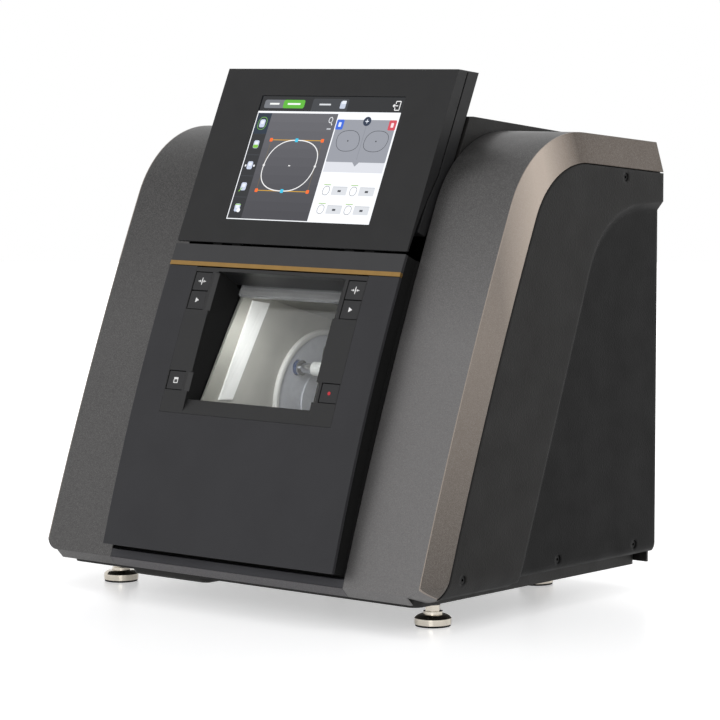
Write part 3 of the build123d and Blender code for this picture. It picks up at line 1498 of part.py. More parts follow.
with BuildPart() as power_rocker:
    with BuildSketch(Plane.YZ.offset(switch_x)) as rocker_side:
        with BuildLine():
            ThreePointArc((half_depth - seam, inlet_z - rocker_height / 2 + rocker_swell),
                          (half_depth - rocker_swell, inlet_z),
                          (half_depth - seam, inlet_z + rocker_height / 2 - rocker_swell))
            Polyline((half_depth - seam, inlet_z + rocker_height / 2 - rocker_swell),
                     (rocker_axis_y, inlet_z + rocker_height / 2 - rocker_swell * 1.5),
                     (rocker_axis_y, inlet_z - rocker_height / 2 + rocker_swell * 1.5),
                     (half_depth - seam, inlet_z - rocker_height / 2 + rocker_swell))
        make_face()
    extrude(amount=rocker_width / 2, both=True)
    extrude(disc_face(rocker_axis, rocker_boss_radius, switch_x), amount=rocker_width / 2, both=True)
    extrude(disc_face(rocker_axis, rocker_pin_radius, switch_x), amount=rocker_pin_half, both=True)
finish(power_rocker.part, "power_rocker")

with BuildPart() as water_fittings:
    for place in (fitting_x, fitting_x + fitting_pitch):
        with BuildSketch(Plane.XZ.offset(-half_depth)):
            with Locations((place, fitting_z)):
                Circle(fitting_radius - seam / 2)
        extrude(amount=fitting_length)
        with BuildSketch(Plane.XZ.offset(-half_depth + rear_thick)):
            with Locations((place, fitting_z)):
                Circle(fitting_flange)
        extrude(amount=fitting_flange_thick)
        with BuildSketch(Plane.XZ.offset(-half_depth - cut_over)):
            with Locations((place, fitting_z)):
                Circle(fitting_bore)
        extrude(amount=fitting_length + cut_over * 2, mode=Mode.SUBTRACT)
finish(water_fittings.part, "water_fittings")

# Base pan with the pressed sump
pan_length = pan_rear - pan_front
pan_middle = (pan_rear + pan_front) / 2
feet = [(x * sx, y) for sx in (-1, 1)
        for x, y in ((foot_x, foot_front_y), (rear_foot_x, foot_rear_y))]
with BuildPart() as base_pan:
    with BuildSketch(Plane.XY.offset(pan_bottom)):
        with Locations((0, pan_middle)):
            RectangleRounded(pan_half * 2, pan_length, pan_corner)
    extrude(amount=pan_flange - pan_bottom)
    with BuildSketch(Plane.XY.offset(pan_bottom + pan_thick)):
        with Locations((0, pan_middle)):
            RectangleRounded((pan_half - pan_thick) * 2, pan_length - pan_thick * 2,
                             pan_corner - pan_thick)
    extrude(amount=pan_flange, mode=Mode.SUBTRACT)
    with BuildSketch(Plane.XY.offset(sump_bottom)):
        with Locations(((sump_low_x + sump_high_x) / 2, (sump_front + sump_rear) / 2)):
            RectangleRounded(sump_width, sump_length, pan_corner)
    extrude(amount=pan_bottom - sump_bottom)
    fillet(base_pan.faces().sort_by(Axis.Z)[0].edges(), sump_round)
    with BuildSketch(Plane.XY.offset(sump_bottom + pan_thick)):
        with Locations(((sump_low_x + sump_high_x) / 2, (sump_front + sump_rear) / 2)):
            RectangleRounded(sump_width - sump_round * 2, sump_length - sump_round * 2,
                             pan_corner / 2)
    extrude(amount=pan_bottom - sump_bottom, mode=Mode.SUBTRACT)
    with BuildSketch(Plane.XY.offset(pan_bottom)):
        with Locations(*feet):
            Circle(foot_stud_radius + seam / 3)
    extrude(amount=pan_thick, mode=Mode.SUBTRACT)
    for y, z, sink in screw_places:
        extrude(disc_face(Vector(y, z), screw_hole_radius), amount=half_width, both=True,
                mode=Mode.SUBTRACT)
finish(base_pan.part, "base_pan")

# Feet
foot_rim_top = foot_rubber_height + foot_rim_height
foot_dome_top = foot_rim_top + foot_dome_rise
with BuildPart() as foot_rubbers:
    with BuildSketch(Plane.XY):
        with Locations(*feet):
            Circle(foot_radius - foot_rubber_inset)
    extrude(amount=foot_rubber_height)
finish(foot_rubbers.part, "foot_rubbers")

foot_top = foot_dome_top + foot_neck_height
foot_profile = [(0, foot_rubber_height), (foot_radius, foot_rubber_height), (foot_radius, foot_rim_top)]
foot_shoulder = [(foot_neck_radius, foot_dome_top), (foot_neck_radius, foot_top), (0, foot_top)]
foot_swell = ((foot_radius + foot_neck_radius) / 2 + foot_dome_rise / 4,
              (foot_rim_top + foot_dome_top) / 2 + foot_dome_rise / 4)
with BuildPart() as foot:
    with BuildSketch(Plane.XZ):
        with BuildLine():
            Polyline(*foot_profile)
            ThreePointArc(foot_profile[-1], foot_swell, foot_shoulder[0])
            Polyline(*foot_shoulder, foot_profile[0])
        make_face()
    revolve(axis=Axis.Z)
    with BuildSketch(Plane.XY.offset(foot_top)):
        RegularPolygon(foot_nut_across / 2, 6, major_radius=False)
    extrude(amount=foot_nut_height)
    with BuildSketch(Plane.XY.offset(foot_top + foot_nut_height - foot_socket_depth)):
        Circle(foot_stud_radius)
    extrude(amount=foot_socket_depth, mode=Mode.SUBTRACT)

with BuildPart() as levelling_feet:
    for x, y in feet:
        add(Pos(x, y, 0) * foot.part)
finish(levelling_feet.part, "levelling_feet")

stud_start = foot_top + foot_nut_height - foot_socket_depth
with BuildPart() as foot_studs:
    with BuildSketch(Plane.XY.offset(stud_start)):
        with Locations(*feet):
            Circle(foot_stud_radius)
    extrude(amount=foot_stud_rise - stud_start)
    with BuildSketch(Plane.XY.offset(pan_bottom + pan_thick)):
        with Locations(*feet):
            RegularPolygon(foot_nut_across / 2, 6, major_radius=False)
    extrude(amount=foot_nut_height)
finish(foot_studs.part, "foot_studs")
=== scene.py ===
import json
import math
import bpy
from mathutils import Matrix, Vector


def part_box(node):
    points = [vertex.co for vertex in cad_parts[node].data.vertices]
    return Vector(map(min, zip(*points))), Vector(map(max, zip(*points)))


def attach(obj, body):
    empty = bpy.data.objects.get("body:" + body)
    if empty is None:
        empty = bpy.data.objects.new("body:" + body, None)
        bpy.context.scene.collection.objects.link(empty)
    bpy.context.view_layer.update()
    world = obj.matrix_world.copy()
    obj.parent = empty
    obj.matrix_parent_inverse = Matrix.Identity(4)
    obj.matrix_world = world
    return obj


bl_info = {
    "name": "Lens Edger Looks",
    "version": (1, 0, 0),
    "blender": (4, 5, 0),
    "location": "View3D > Sidebar > Edger",
    "description": "Dresses the packed lens edger: paints, screen, key marks, fixings and studio",
    "category": "Object",
}

import bmesh
import bpy
from bpy.props import FloatProperty, FloatVectorProperty, IntProperty, PointerProperty
from mathutils import Matrix, Vector

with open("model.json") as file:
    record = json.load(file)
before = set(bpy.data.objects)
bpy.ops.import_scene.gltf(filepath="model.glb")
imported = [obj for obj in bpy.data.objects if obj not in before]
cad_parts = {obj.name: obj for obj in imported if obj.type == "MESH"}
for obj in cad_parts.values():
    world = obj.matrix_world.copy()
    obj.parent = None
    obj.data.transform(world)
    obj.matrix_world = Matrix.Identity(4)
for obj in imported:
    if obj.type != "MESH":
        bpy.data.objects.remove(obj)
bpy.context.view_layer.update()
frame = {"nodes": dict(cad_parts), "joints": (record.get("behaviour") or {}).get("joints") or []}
nodes = frame["nodes"]
MM = 0.001
RIGHT = Vector((1, 0, 0))
UP = Vector((0, 0, 1))

# Places and sizes on the part
WING_FLANK = 275 * MM  # across, where a wing's face turns into its band
WING_EDGE_HIGHLIGHT = 1.0 * MM  # width of the painted highlight line along the face's edge
BAND_BEND = -12 * MM  # along the depth, where the bands turn from the slope to the top
SCOOP_START, SCOOP_FULL = 1.0 * MM, 7.5 * MM  # depths between which their painted shade comes in
BEAD_RADIUS = 79 * MM  # where the bead of a seal disc, with its painted highlight, starts
SLEEVE_START = 4 * MM  # behind the face of the left seal disc
SLEEVE_END = 20 * MM  # behind the tip of the left lens shaft
VENT_X, VENT_Z = 120 * MM, 400 * MM  # middle of the vents in the rear cover
DISPLAY_TILT = math.radians(24.6)  # how far the display leans back at rest
SCREEN_WIDE, SCREEN_HIGH = 211.8 * MM, 152.8 * MM
KEYS = {"clamp_left": "clamp", "start_left": "start", "door_left": "door", "clamp_right": "clamp",
        "start_right": "start", "stop_right": "stop"}
SAME_PLANE = 0.02 * MM  # corners this close count as one flat face
SHORTEST_RUN = 1e-9  # a shorter run has no direction
PAINT_BLUR = 0.1 * MM  # over which one paint turns into the next


# Settings

def shade(text):
    """Linear colour, by the sRGB curve, from the hex value that a screen shows."""
    parts = [int(text[i:i + 2], 16) / 255 for i in (0, 2, 4)]
    return tuple(p / 12.92 if p <= 0.04045 else ((p + 0.055) / 1.055) ** 2.4 for p in parts)


def grey(level):
    """Neutral colour from its linear level."""
    return (level, level, level)


def paint(label, text, words):
    """A colour setting with its default."""
    return FloatVectorProperty(name=label, description=words, subtype="COLOR", size=3, min=0, max=1,
                               default=shade(text))


def share(label, value, words):
    """A setting between nought and one."""
    return FloatProperty(name=label, description=words, default=value, min=0, max=1,
                         subtype="FACTOR")


def length(label, value, words):
    """A length setting in metres, from a default in millimetres."""
    return FloatProperty(name=label, description=words, default=value * MM, min=0, unit="LENGTH",
                         precision=5)


def brightness(label, value, words):
    """A setting for the strength of a light that fills an area."""
    return FloatProperty(name=label, description=words, default=value, min=0)


def power(label, value, words):
    """A setting for a lamp's power in watts."""
    return FloatProperty(name=label, description=words, default=value, min=0, unit="POWER")


class CoverSettings(bpy.types.PropertyGroup):
    """Paints of the housing."""
    wing_face: paint("Wing face", "4b4a4a", "Grey metallic paint on the wings' faces")
    wing_band: paint("Wing band", "786f67", "Bronze metallic paint on the bands round the wings")
    # painted shade: the bands are painted darker where they lie flat along the top
    band_top_shade: paint("Band top", "463b31", "Darker bronze where the bands lie flat along the top")
    wing_rough: share("Wing roughness", 0.42, "How matt the metallic paint is")
    flake: length("Flake", 0.45, "Size of the flakes in the metallic paint")
    side: paint("Side covers", "171615", "Textured black of the side, top and rear covers")
    # painted shade: the scoops' black stands for the shade in their recess
    scoop: paint("Scoops", "030303", "Smoother black in the side covers' scoops")
    rounding: length("Rounding", 5.0, "How far the side covers' edges are rounded")
    side_rough: share("Side roughness", 0.5, "How matt the textured black is")
    grain: length("Grain", 1.5, "Size of the pimples in the textured black")
    sill: paint("Sill", "4b494c", "Paint of the strip along the bottom")
    pan: paint("Base pan", "1c1b1a", "Powder coat of the base pan")


class FrontSettings(bpy.types.PropertyGroup):
    """Finishes of the front panel, the display and the keys."""
    panel: paint("Panel", "2a2a2d", "Graphite of the front panel")
    header: paint("Header", "2d2d2f", "Grey of the band above the gold line")
    gold: paint("Gold line", "977848", "Gold of the trim line")
    bezel: paint("Bezel", "1f1f20", "Black of the window surround")
    display: paint("Display", "1b1b1c", "Black of the display's housing")
    # painted shade in part: besides the frame and the rails, this black is painted as shade on the
    # sides of the surround's openings
    gap: paint("Gaps", "030303", "Black of the front frame, the rails and the surround's openings")
    key: paint("Keys", "1c1c1e", "Black of the keys")
    mark: paint("Key marks", "f2f2f2", "White of the printed marks")
    stop: paint("Stop mark", "c8202f", "Red of the stop mark")
    grain: length("Grain", 1.1, "Size of the grain in the moulded panel")
    mark_height: length("Mark height", 0.12, "How far the printed marks stand out")


class ChamberSettings(bpy.types.PropertyGroup):
    """Finishes of the grinding chamber and of the mechanism."""
    wall: paint("Walls", "b0ada5", "Warm grey of the chamber's side walls")
    # painted shade: a darker grey than the walls, painted as the shade in the ceiling, floor and
    # back
    shell_shade: paint("Shell", "93918a", "Darker grey of the chamber's ceiling, floor and back")
    disc: paint("Seal discs", "e0e1e9", "Pale blue grey of the seal discs")
    # painted highlight: the beads' white stands for the light they catch
    bead: paint("Disc beads", "f2f0ec", "White of the beads round the seal discs")
    sleeve: paint("Shaft sleeve", "04356b", "Blue of the sleeve on the left shaft")
    cup: paint("Cup", "f4f4f2", "White of the lens cup")
    steel: paint("Steel", "cfd0d3", "Ground steel of shafts and rods")
    lamp: brightness("Lamp", 0.25, "Glow of the light strip")


class ScreenSettings(bpy.types.PropertyGroup):
    """The picture on the display."""
    glow: brightness("Glow", 1.0, "Strength of the picture's light")
    stroke: length("Stroke", 1.0, "Width of the drawn lines")
    layer: length("Layer", 0.03, "Step between the picture's layers")
    outline_steps: IntProperty(name="Outline steps", description="Points round a lens outline",
                               default=72, min=12, max=200)


class FixingSettings(bpy.types.PropertyGroup):
    """Screws and filter mats of the rear cover."""
    head: length("Head radius", 3.6, "Radius of the rear cover's screw heads")
    dome: length("Head height", 2.0, "Height of the screw heads above the sheet")
    socket: length("Socket", 1.6, "Radius of the hexagon socket")
    edge: length("Edge distance", 9.0, "From the rear cover's edge to its screws")
    mat_wide: length("Mat width", 76.0, "Width of a filter mat behind the vents")
    mat_high: length("Mat height", 98.0, "Height of a filter mat behind the vents")
    mat_thick: length("Mat thickness", 3.0, "Thickness of the mats and of the seals beside them")


class StudioSettings(bpy.types.PropertyGroup):
    """Floor, lights and camera."""
    floor: paint("Floor", "f1f1f2", "White of the table")
    floor_lift: share("Floor lift", 0.46, "What the eye sees on the table beyond its own light")
    ambient: brightness("Ambient", 0.55, "Light from all round")
    key_power: power("Key light", 12.0, "Power of the main softbox")
    fill_power: power("Fill light", 6.0, "Power of the softbox at the shoulder")
    rim_power: power("Rim light", 5.0, "Power of the softbox behind the side")
    top_power: power("Top light", 10.0, "Power of the softbox overhead")
    near_power: power("Near light", 3.0, "Power of the softbox at the right front")
    chamber_power: power("Chamber light", 0.072, "Power of the chamber's own lamp")
    lens: FloatProperty(name="Lens", description="Focal length", default=159.9, min=1,
                        unit="CAMERA")


# Parts of materials

NOISE_MIDDLE = (0.35, 0.65)  # where most of a noise's values lie
NOISE_WHOLE = (0.3, 0.7)  # where nearly all of them lie
MIX_FACTOR, MIX_FIRST, MIX_SECOND, MIX_RESULT = 0, 6, 7, 2  # sockets of a Mix node for colours
BEVEL_SAMPLES = 6
ACRYLIC_IOR = 1.49
LATHE_MARKS = (6, 1, 1)  # rings round a shaft that lies across the machine
MILL_MARKS = (8, 1, 1)
BRUSH_MARKS = (1, 12, 12)  # lines across the machine


def put(tree, kind, inputs=None, **settings):
    """Add a shader node; an input takes a value, or an output socket to link from."""
    made = tree.nodes.new("ShaderNode" + kind)
    for name, value in settings.items():
        setattr(made, name, value)
    for name, value in (inputs or {}).items():
        socket = made.inputs[name]
        if isinstance(value, bpy.types.NodeSocket):
            tree.links.new(value, socket)
        else:
            socket.default_value = value
    return made


def surface(name, color, rough, metal=0.0, specular=0.5):
    """A new material, its node tree and its Principled shader with plain values."""
    made = bpy.data.materials.new(name)
    made.use_nodes = True
    made.diffuse_color = (*color, 1)
    tree = made.node_tree
    shader = tree.nodes["Principled BSDF"]
    shader.inputs["Base Color"].default_value = (*color, 1)
    shader.inputs["Roughness"].default_value = rough
    shader.inputs["Metallic"].default_value = metal
    shader.inputs["Specular IOR Level"].default_value = specular
    return made, tree, shader


def place(tree, scale=(1, 1, 1)):
    """Object coordinates, scaled along the axes."""
    where = put(tree, "TexCoord").outputs["Object"]
    return put(tree, "Mapping", {"Vector": where, "Scale": scale}).outputs["Vector"]


def axes(tree, kind="Object"):
    """X, Y and Z of the object coordinates, or of the normal."""
    where = put(tree, "TexCoord").outputs[kind]
    return put(tree, "SeparateXYZ", {"Vector": where}).outputs


def noise(tree, size, scale=(1, 1, 1), detail=3.0):
    """Noise with grains of a size in metres."""
    made = put(tree, "TexNoise", {"Vector": place(tree, scale), "Scale": 1 / size,
                                  "Detail": detail})
    return made.outputs["Fac"]


def cells(tree, size, output="Distance", feature="F1"):
    """Cells of a size in metres."""
    made = put(tree, "TexVoronoi", {"Vector": place(tree), "Scale": 1 / size}, feature=feature)
    return made.outputs[output]


def worked(tree, operation, *values):
    """A value worked out from others."""
    return put(tree, "Math", dict(enumerate(values)), operation=operation).outputs[0]


def spread(tree, value, low, high, least=0, most=1):
    """A value mapped from one range to another."""
    made = put(tree, "MapRange", {"Value": value, "From Min": low, "From Max": high,
                                  "To Min": least, "To Max": most})
    return made.outputs["Result"]


def rgba(color):
    """A plain colour with its alpha; an output socket stays as it is."""
    return color if isinstance(color, bpy.types.NodeSocket) else (*color, 1)


def mixed(tree, factor, first, second):
    """A mix of two colours by a factor."""
    made = put(tree, "Mix", {MIX_FACTOR: factor, MIX_FIRST: rgba(first), MIX_SECOND: rgba(second)},
               data_type="RGBA")
    return made.outputs[MIX_RESULT]


def times(color, factor):
    """A colour made lighter or darker."""
    return tuple(min(1.0, c * factor) for c in color)


def vary(tree, shader, color, size, depth):
    """Cloudy variation of a colour, as a share of its own brightness."""
    cloud = spread(tree, noise(tree, size), *NOISE_MIDDLE)
    made = mixed(tree, cloud, times(color, 1 - depth), times(color, 1 + depth))
    tree.links.new(made, shader.inputs["Base Color"])
    return made


def rough_spread(tree, shader, rough, depth, size):
    """Uneven gloss, as handling leaves it."""
    value = spread(tree, noise(tree, size, detail=4), *NOISE_WHOLE, rough - depth, rough + depth)
    tree.links.new(value, shader.inputs["Roughness"])


def bump(tree, shader, height, strength, distance, rounding=0.0):
    """Bump from a height value, on edges that look rounded where a radius is given."""
    made = put(tree, "Bump", {"Height": height, "Strength": strength, "Distance": distance})
    if rounding:
        soft = put(tree, "Bevel", {"Radius": rounding}, samples=BEVEL_SAMPLES)
        tree.links.new(soft.outputs["Normal"], made.inputs["Normal"])
    tree.links.new(made.outputs["Normal"], shader.inputs["Normal"])


def printed(tree, shader):
    """The colour that a drawn shape carries, as the base colour."""
    ink = put(tree, "Attribute", attribute_name="tint").outputs["Color"]
    tree.links.new(ink, shader.inputs["Base Color"])
    return ink


# Materials

def textured(name, color, rough, grain, depth=0.35, specular=0.3, rounding=0.8 * MM):
    """Moulded or powder-coated black with a fine pimpled grain."""
    made, tree, shader = surface(name, color, rough, specular=specular)
    vary(tree, shader, color, size=60 * MM, depth=0.06)
    rough_spread(tree, shader, rough, depth=0.05, size=40 * MM)
    pimple_height = grain * 0.35
    bump(tree, shader, cells(tree, grain, feature="SMOOTH_F1"), depth, pimple_height, rounding)
    return made


def side_black(look, face):
    """Textured black of a side cover, smoother where the scoop goes in, and painted darker there as
    the recess's shade.
    """
    side_specular, scoop_specular = 0.18, 0.13
    made = textured("side_texture", look.side, look.side_rough, look.grain,
                    specular=side_specular, rounding=look.rounding)
    tree = made.node_tree
    shader = tree.nodes["Principled BSDF"]
    grainy = shader.inputs["Base Color"].links[0].from_socket
    out = worked(tree, "ABSOLUTE", axes(tree)["X"])
    # painted shade in the recessed scoop
    sunk_shade = spread(tree, out, face - SCOOP_FULL, face - SCOOP_START, 1, 0)
    tree.links.new(mixed(tree, sunk_shade, grainy, look.scoop), shader.inputs["Base Color"])
    tree.links.new(spread(tree, sunk_shade, 0, 1, side_specular, scoop_specular),
                   shader.inputs["Specular IOR Level"])
    return made


def satin(name, color, rough, specular=0.4, size=0.5 * MM, depth=0.08, rounding=0.0):
    """Smooth moulding with a hint of orange peel."""
    made, tree, shader = surface(name, color, rough, specular=specular)
    vary(tree, shader, color, size=30 * MM, depth=0.05)
    rough_spread(tree, shader, rough, depth=0.05, size=25 * MM)
    peel_height = size * 0.4
    bump(tree, shader, noise(tree, size), depth, peel_height, rounding)
    return made


def metal(name, color, rough, lines=(1, 1, 1), size=0.4 * MM, depth=0.1):
    """Machined, ground or plated metal; lines makes its marks finer along an axis."""
    made, tree, shader = surface(name, color, rough, metal=1.0)
    vary(tree, shader, color, size=12 * MM, depth=0.05)
    marks = noise(tree, size, lines, detail=4)
    least_rough, uneven = 0.02, 0.08
    tree.links.new(spread(tree, marks, *NOISE_WHOLE, max(least_rough, rough - uneven),
                          rough + uneven), shader.inputs["Roughness"])
    mark_height = size * 0.3
    bump(tree, shader, marks, depth, mark_height)
    return made


def flaked(tree, shader, base, rough, size):
    """Metallic paint: bright flakes in a satin coat, over a base colour socket."""
    silver, brightest_flake, dull_share = (0.9, 0.88, 0.86), 0.09, 0.35
    spark = put(tree, "SeparateColor", {"Color": cells(tree, size, "Color")}).outputs["Red"]
    lift = spread(tree, spark, dull_share, 1, 0, brightest_flake)
    tree.links.new(mixed(tree, lift, base, silver), shader.inputs["Base Color"])
    shader.inputs["Metallic"].default_value = 0.7
    shader.inputs["Coat Weight"].default_value = 0.08
    shader.inputs["Coat Roughness"].default_value = 0.3
    rough_spread(tree, shader, rough, depth=0.04, size=50 * MM)
    bump(tree, shader, noise(tree, 1.2 * MM), strength=0.06, distance=0.2 * MM,
         rounding=1.5 * MM)


def wing_paint_and_light(look):
    """Two paints split where a wing's face turns into its band, with painted light and shade in
    them.

    The faces are painted lighter to the right and painted darker as shade under the shoulder, with
    a painted highlight line along their edge. The bands carry a painted highlight where they bend
    over the shoulder, and painted shade at the foot and along the top.
    """
    face, band = look.wing_face, look.wing_band
    made, tree, shader = surface("wing_two_tone", face, look.wing_rough)
    where = axes(tree)
    out = worked(tree, "ABSOLUTE", where["X"])
    split = spread(tree, out, WING_FLANK - PAINT_BLUR, WING_FLANK + PAINT_BLUR)
    # painted highlight: a line of light painted along the face's edge, in the band's bronze
    edge = spread(tree, out, WING_FLANK - WING_EDGE_HIGHLIGHT - 2 * PAINT_BLUR, WING_FLANK - WING_EDGE_HIGHLIGHT)
    # painted light and shade on the faces: lighter to the right, darker under the shoulder
    painted_light_to_right = spread(tree, where["X"], -200 * MM, 200 * MM)
    painted_shade_to_shoulder = spread(tree, where["Z"], 300 * MM, 560 * MM)
    painted_shade_from_foot = spread(tree, where["Z"], 50 * MM, 300 * MM)
    # painted shade at the bands' foot and along the top, painted highlight at the bend
    painted_highlight_to_bend = spread(tree, where["Y"], BAND_BEND - 60 * MM, BAND_BEND)
    painted_shade_past_bend = spread(tree, where["Y"], BAND_BEND + 15 * MM, BAND_BEND + 75 * MM)
    face_color = mixed(tree, painted_light_to_right, face, times(face, 2.1))
    face_color = mixed(tree, painted_shade_to_shoulder, face_color, times(face, 0.25))
    face_color = mixed(tree, edge, face_color, times(band, 1.4))
    band_color = mixed(tree, painted_shade_from_foot, times(band, 0.45), times(band, 1.1))
    band_color = mixed(tree, painted_highlight_to_bend, band_color, times(band, 2.6))
    band_color = mixed(tree, painted_shade_past_bend, band_color, look.band_top_shade)
    flaked(tree, shader, mixed(tree, split, face_color, band_color), look.wing_rough,
           look.flake)
    return made


def clear(name, color, rough, through):
    """Clear or frosted acrylic, which lets the lamps' light through."""
    made, tree, shader = surface(name, color, rough)
    vary(tree, shader, color, size=20 * MM, depth=0.02)
    shader.inputs["Transmission Weight"].default_value = through
    shader.inputs["IOR"].default_value = ACRYLIC_IOR
    lamps = put(tree, "LightPath").outputs["Is Shadow Ray"]
    film = put(tree, "BsdfTransparent", {"Color": (*color, 1)}).outputs[0]
    both = put(tree, "MixShader", {0: lamps, 1: shader.outputs[0], 2: film}).outputs[0]
    tree.links.new(both, tree.nodes["Material Output"].inputs["Surface"])
    return made


def beaded_with_highlight(name, disc, bead, node):
    """Enamel of a seal disc, with a painted highlight on the bead at its rim."""
    made = satin(name, disc, rough=0.3)
    tree = made.node_tree
    shader = tree.nodes["Principled BSDF"]
    plain = shader.inputs["Base Color"].links[0].from_socket
    low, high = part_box(node)
    middle = (0, (low.y + high.y) / 2, (low.z + high.z) / 2)
    where = put(tree, "VectorMath", {0: put(tree, "TexCoord").outputs["Object"], 1: (0, 1, 1)},
                operation="MULTIPLY").outputs[0]
    out = put(tree, "VectorMath", {0: where, 1: middle}, operation="DISTANCE").outputs["Value"]
    # painted highlight on the bead
    rim = spread(tree, out, BEAD_RADIUS, BEAD_RADIUS + 1 * MM)
    tree.links.new(mixed(tree, rim, plain, bead), shader.inputs["Base Color"])
    return made


def framed(name, look):
    """The window surround, with painted shade: dark on the sides of its opening and of the slots
    round the keys, and darker where it faces up.
    """
    satin_rough, gap_rough, upward_shade_share = 0.42, 0.85, 0.8
    made, tree, shader = surface(name, look.bezel, satin_rough, specular=0.35)
    base = vary(tree, shader, look.bezel, size=30 * MM, depth=0.05)
    turned = axes(tree, "Normal")
    # painted shade: faces that look sideways go black, faces turned up mostly so
    shade_upward = spread(tree, turned["Z"], 0.55, 0.8, 0, upward_shade_share)
    shade_sideways = spread(tree, worked(tree, "ABSOLUTE", turned["X"]), 0.8, 0.9)
    dark = worked(tree, "MAXIMUM", shade_sideways, shade_upward)
    tree.links.new(mixed(tree, dark, base, look.gap), shader.inputs["Base Color"])
    tree.links.new(spread(tree, dark, 0, 1, satin_rough, gap_rough), shader.inputs["Roughness"])
    bump(tree, shader, noise(tree, 0.5 * MM), strength=0.08, distance=0.2 * MM,
         rounding=0.6 * MM)
    return made


def glowing(name, color, strength):
    """A lit diffuser."""
    made, tree, shader = surface(name, color, rough=0.5)
    vary(tree, shader, color, size=10 * MM, depth=0.02)
    shader.inputs["Emission Color"].default_value = (*color, 1)
    shader.inputs["Emission Strength"].default_value = strength
    return made


def grit(name, color):
    """Bonded abrasive of a wheel."""
    made, tree, shader = surface(name, color, rough=0.75)
    vary(tree, shader, color, size=0.8 * MM, depth=0.35)
    bump(tree, shader, cells(tree, 0.6 * MM), strength=0.6, distance=0.3 * MM)
    return made


def sleeved(name, look):
    """Ground steel of the left lens shaft, with its blue sleeve from the disc on."""
    made, tree, shader = surface(name, look.steel, rough=0.15, metal=1.0)
    along = axes(tree)["X"]
    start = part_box("left_seal_disc")[1].x - SLEEVE_START
    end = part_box("left_lens_shaft")[1].x - SLEEVE_END
    inside = spread(tree, along, start, start + PAINT_BLUR)
    before = spread(tree, along, end + PAINT_BLUR / 2, end + PAINT_BLUR, 1, 0)
    sleeve = worked(tree, "MULTIPLY", inside, before)
    tree.links.new(mixed(tree, sleeve, look.steel, look.sleeve), shader.inputs["Base Color"])
    tree.links.new(spread(tree, sleeve, 0, 1, 1, 0), shader.inputs["Metallic"])
    bump(tree, shader, noise(tree, 0.5 * MM, LATHE_MARKS), strength=0.08, distance=0.1 * MM)
    return made


def dress(material, *names):
    """Give CAD nodes a material."""
    for name in names:
        slots = nodes[name].data.materials
        slots.clear()
        slots.append(material)


# Shapes and places

def add_object(name, data):
    """A new object in the scene."""
    made = bpy.data.objects.new(name, data)
    bpy.context.scene.collection.objects.link(made)
    return made


def facing(node, out):
    """Middle of a node's flat face that looks a given way."""
    reach = [v.co.dot(out) for v in nodes[node].data.vertices]
    top = max(reach)
    corners = [v.co for v, r in zip(nodes[node].data.vertices, reach) if r > top - SAME_PLANE]
    low = Vector([min(c[i] for c in corners) for i in range(3)])
    high = Vector([max(c[i] for c in corners) for i in range(3)])
    return (low + high) / 2


def key_face(body):
    """The way a key's face looks: against its travel."""
    return -Vector(next(j["axis"] for j in frame["joints"] if j["child"] == body))


class Relief:
    """Low flat-topped shapes on a plane, gathered in one mesh with a colour on each."""

    def __init__(self, middle, across, up):
        self.middle, self.across, self.up = middle, across, up
        self.out = across.cross(up)
        self.mesh = bmesh.new()
        self.tint = self.mesh.loops.layers.float_color.new("tint")

    def at(self, x, y, z):
        """A place from its distances across, up and out."""
        return self.middle + self.across * x + self.up * y + self.out * z

    def shape(self, points, low, high, color):
        """A prism on an outline given anticlockwise."""
        lower = [self.mesh.verts.new(self.at(x, y, low)) for x, y in points]
        upper = [self.mesh.verts.new(self.at(x, y, high)) for x, y in points]
        count = len(points)
        faces = [self.mesh.faces.new(upper), self.mesh.faces.new(lower[::-1])]
        for i in range(count):
            j = (i + 1) % count
            faces.append(self.mesh.faces.new((lower[i], lower[j], upper[j], upper[i])))
        for face in faces:
            for loop in face.loops:
                loop[self.tint] = (*color, 1)

    def stroke(self, points, width, low, high, color, closed=False):
        """A line of a width along points, one prism for each run."""
        ends = points[1:] + (points[:1] if closed else [])
        for (ax, ay), (bx, by) in zip(points, ends):
            run = math.hypot(bx - ax, by - ay)
            if run < SHORTEST_RUN:
                continue
            nx, ny = (by - ay) / run * width / 2, -(bx - ax) / run * width / 2
            self.shape([(ax + nx, ay + ny), (bx + nx, by + ny), (bx - nx, by - ny),
                        (ax - nx, ay - ny)], low, high, color)

    def finish(self, name, body, slot, material):
        """The gathered shapes as an object that rides on a body."""
        data = bpy.data.meshes.new(name)
        self.mesh.to_mesh(data)
        self.mesh.free()
        made = add_object(name, data)
        data.materials.append(material)
        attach(made, body)


CORNER_STEPS = 4  # straight runs in a rounded corner


def box_points(left, low, right, high, radius=0.0):
    """A rectangle, its corners rounded, anticlockwise."""
    if radius <= 0:
        return [(left, low), (right, low), (right, high), (left, high)]
    points = []
    for cx, cy, start in ((right - radius, high - radius, 0), (left + radius, high - radius, 90),
                          (left + radius, low + radius, 180), (right - radius, low + radius, 270)):
        for step in range(CORNER_STEPS + 1):
            turn = math.radians(start + step * 90 / CORNER_STEPS)
            points.append((cx + radius * math.cos(turn), cy + radius * math.sin(turn)))
    return points


def oval_points(x, y, wide, high, steps, square=2.0, lean=0.0):
    """A squared oval whose upper half leans, as a spectacle lens outline does."""
    points = []
    for step in range(steps):
        turn = 2 * math.pi * step / steps
        c, s = math.cos(turn), math.sin(turn)
        px = math.copysign(abs(c) ** (2 / square), c)
        py = math.copysign(abs(s) ** (2 / square), s)
        points.append((x + wide * (px + lean * py * abs(px)), y + high * py))
    return points


# Operators: one for each group of pieces

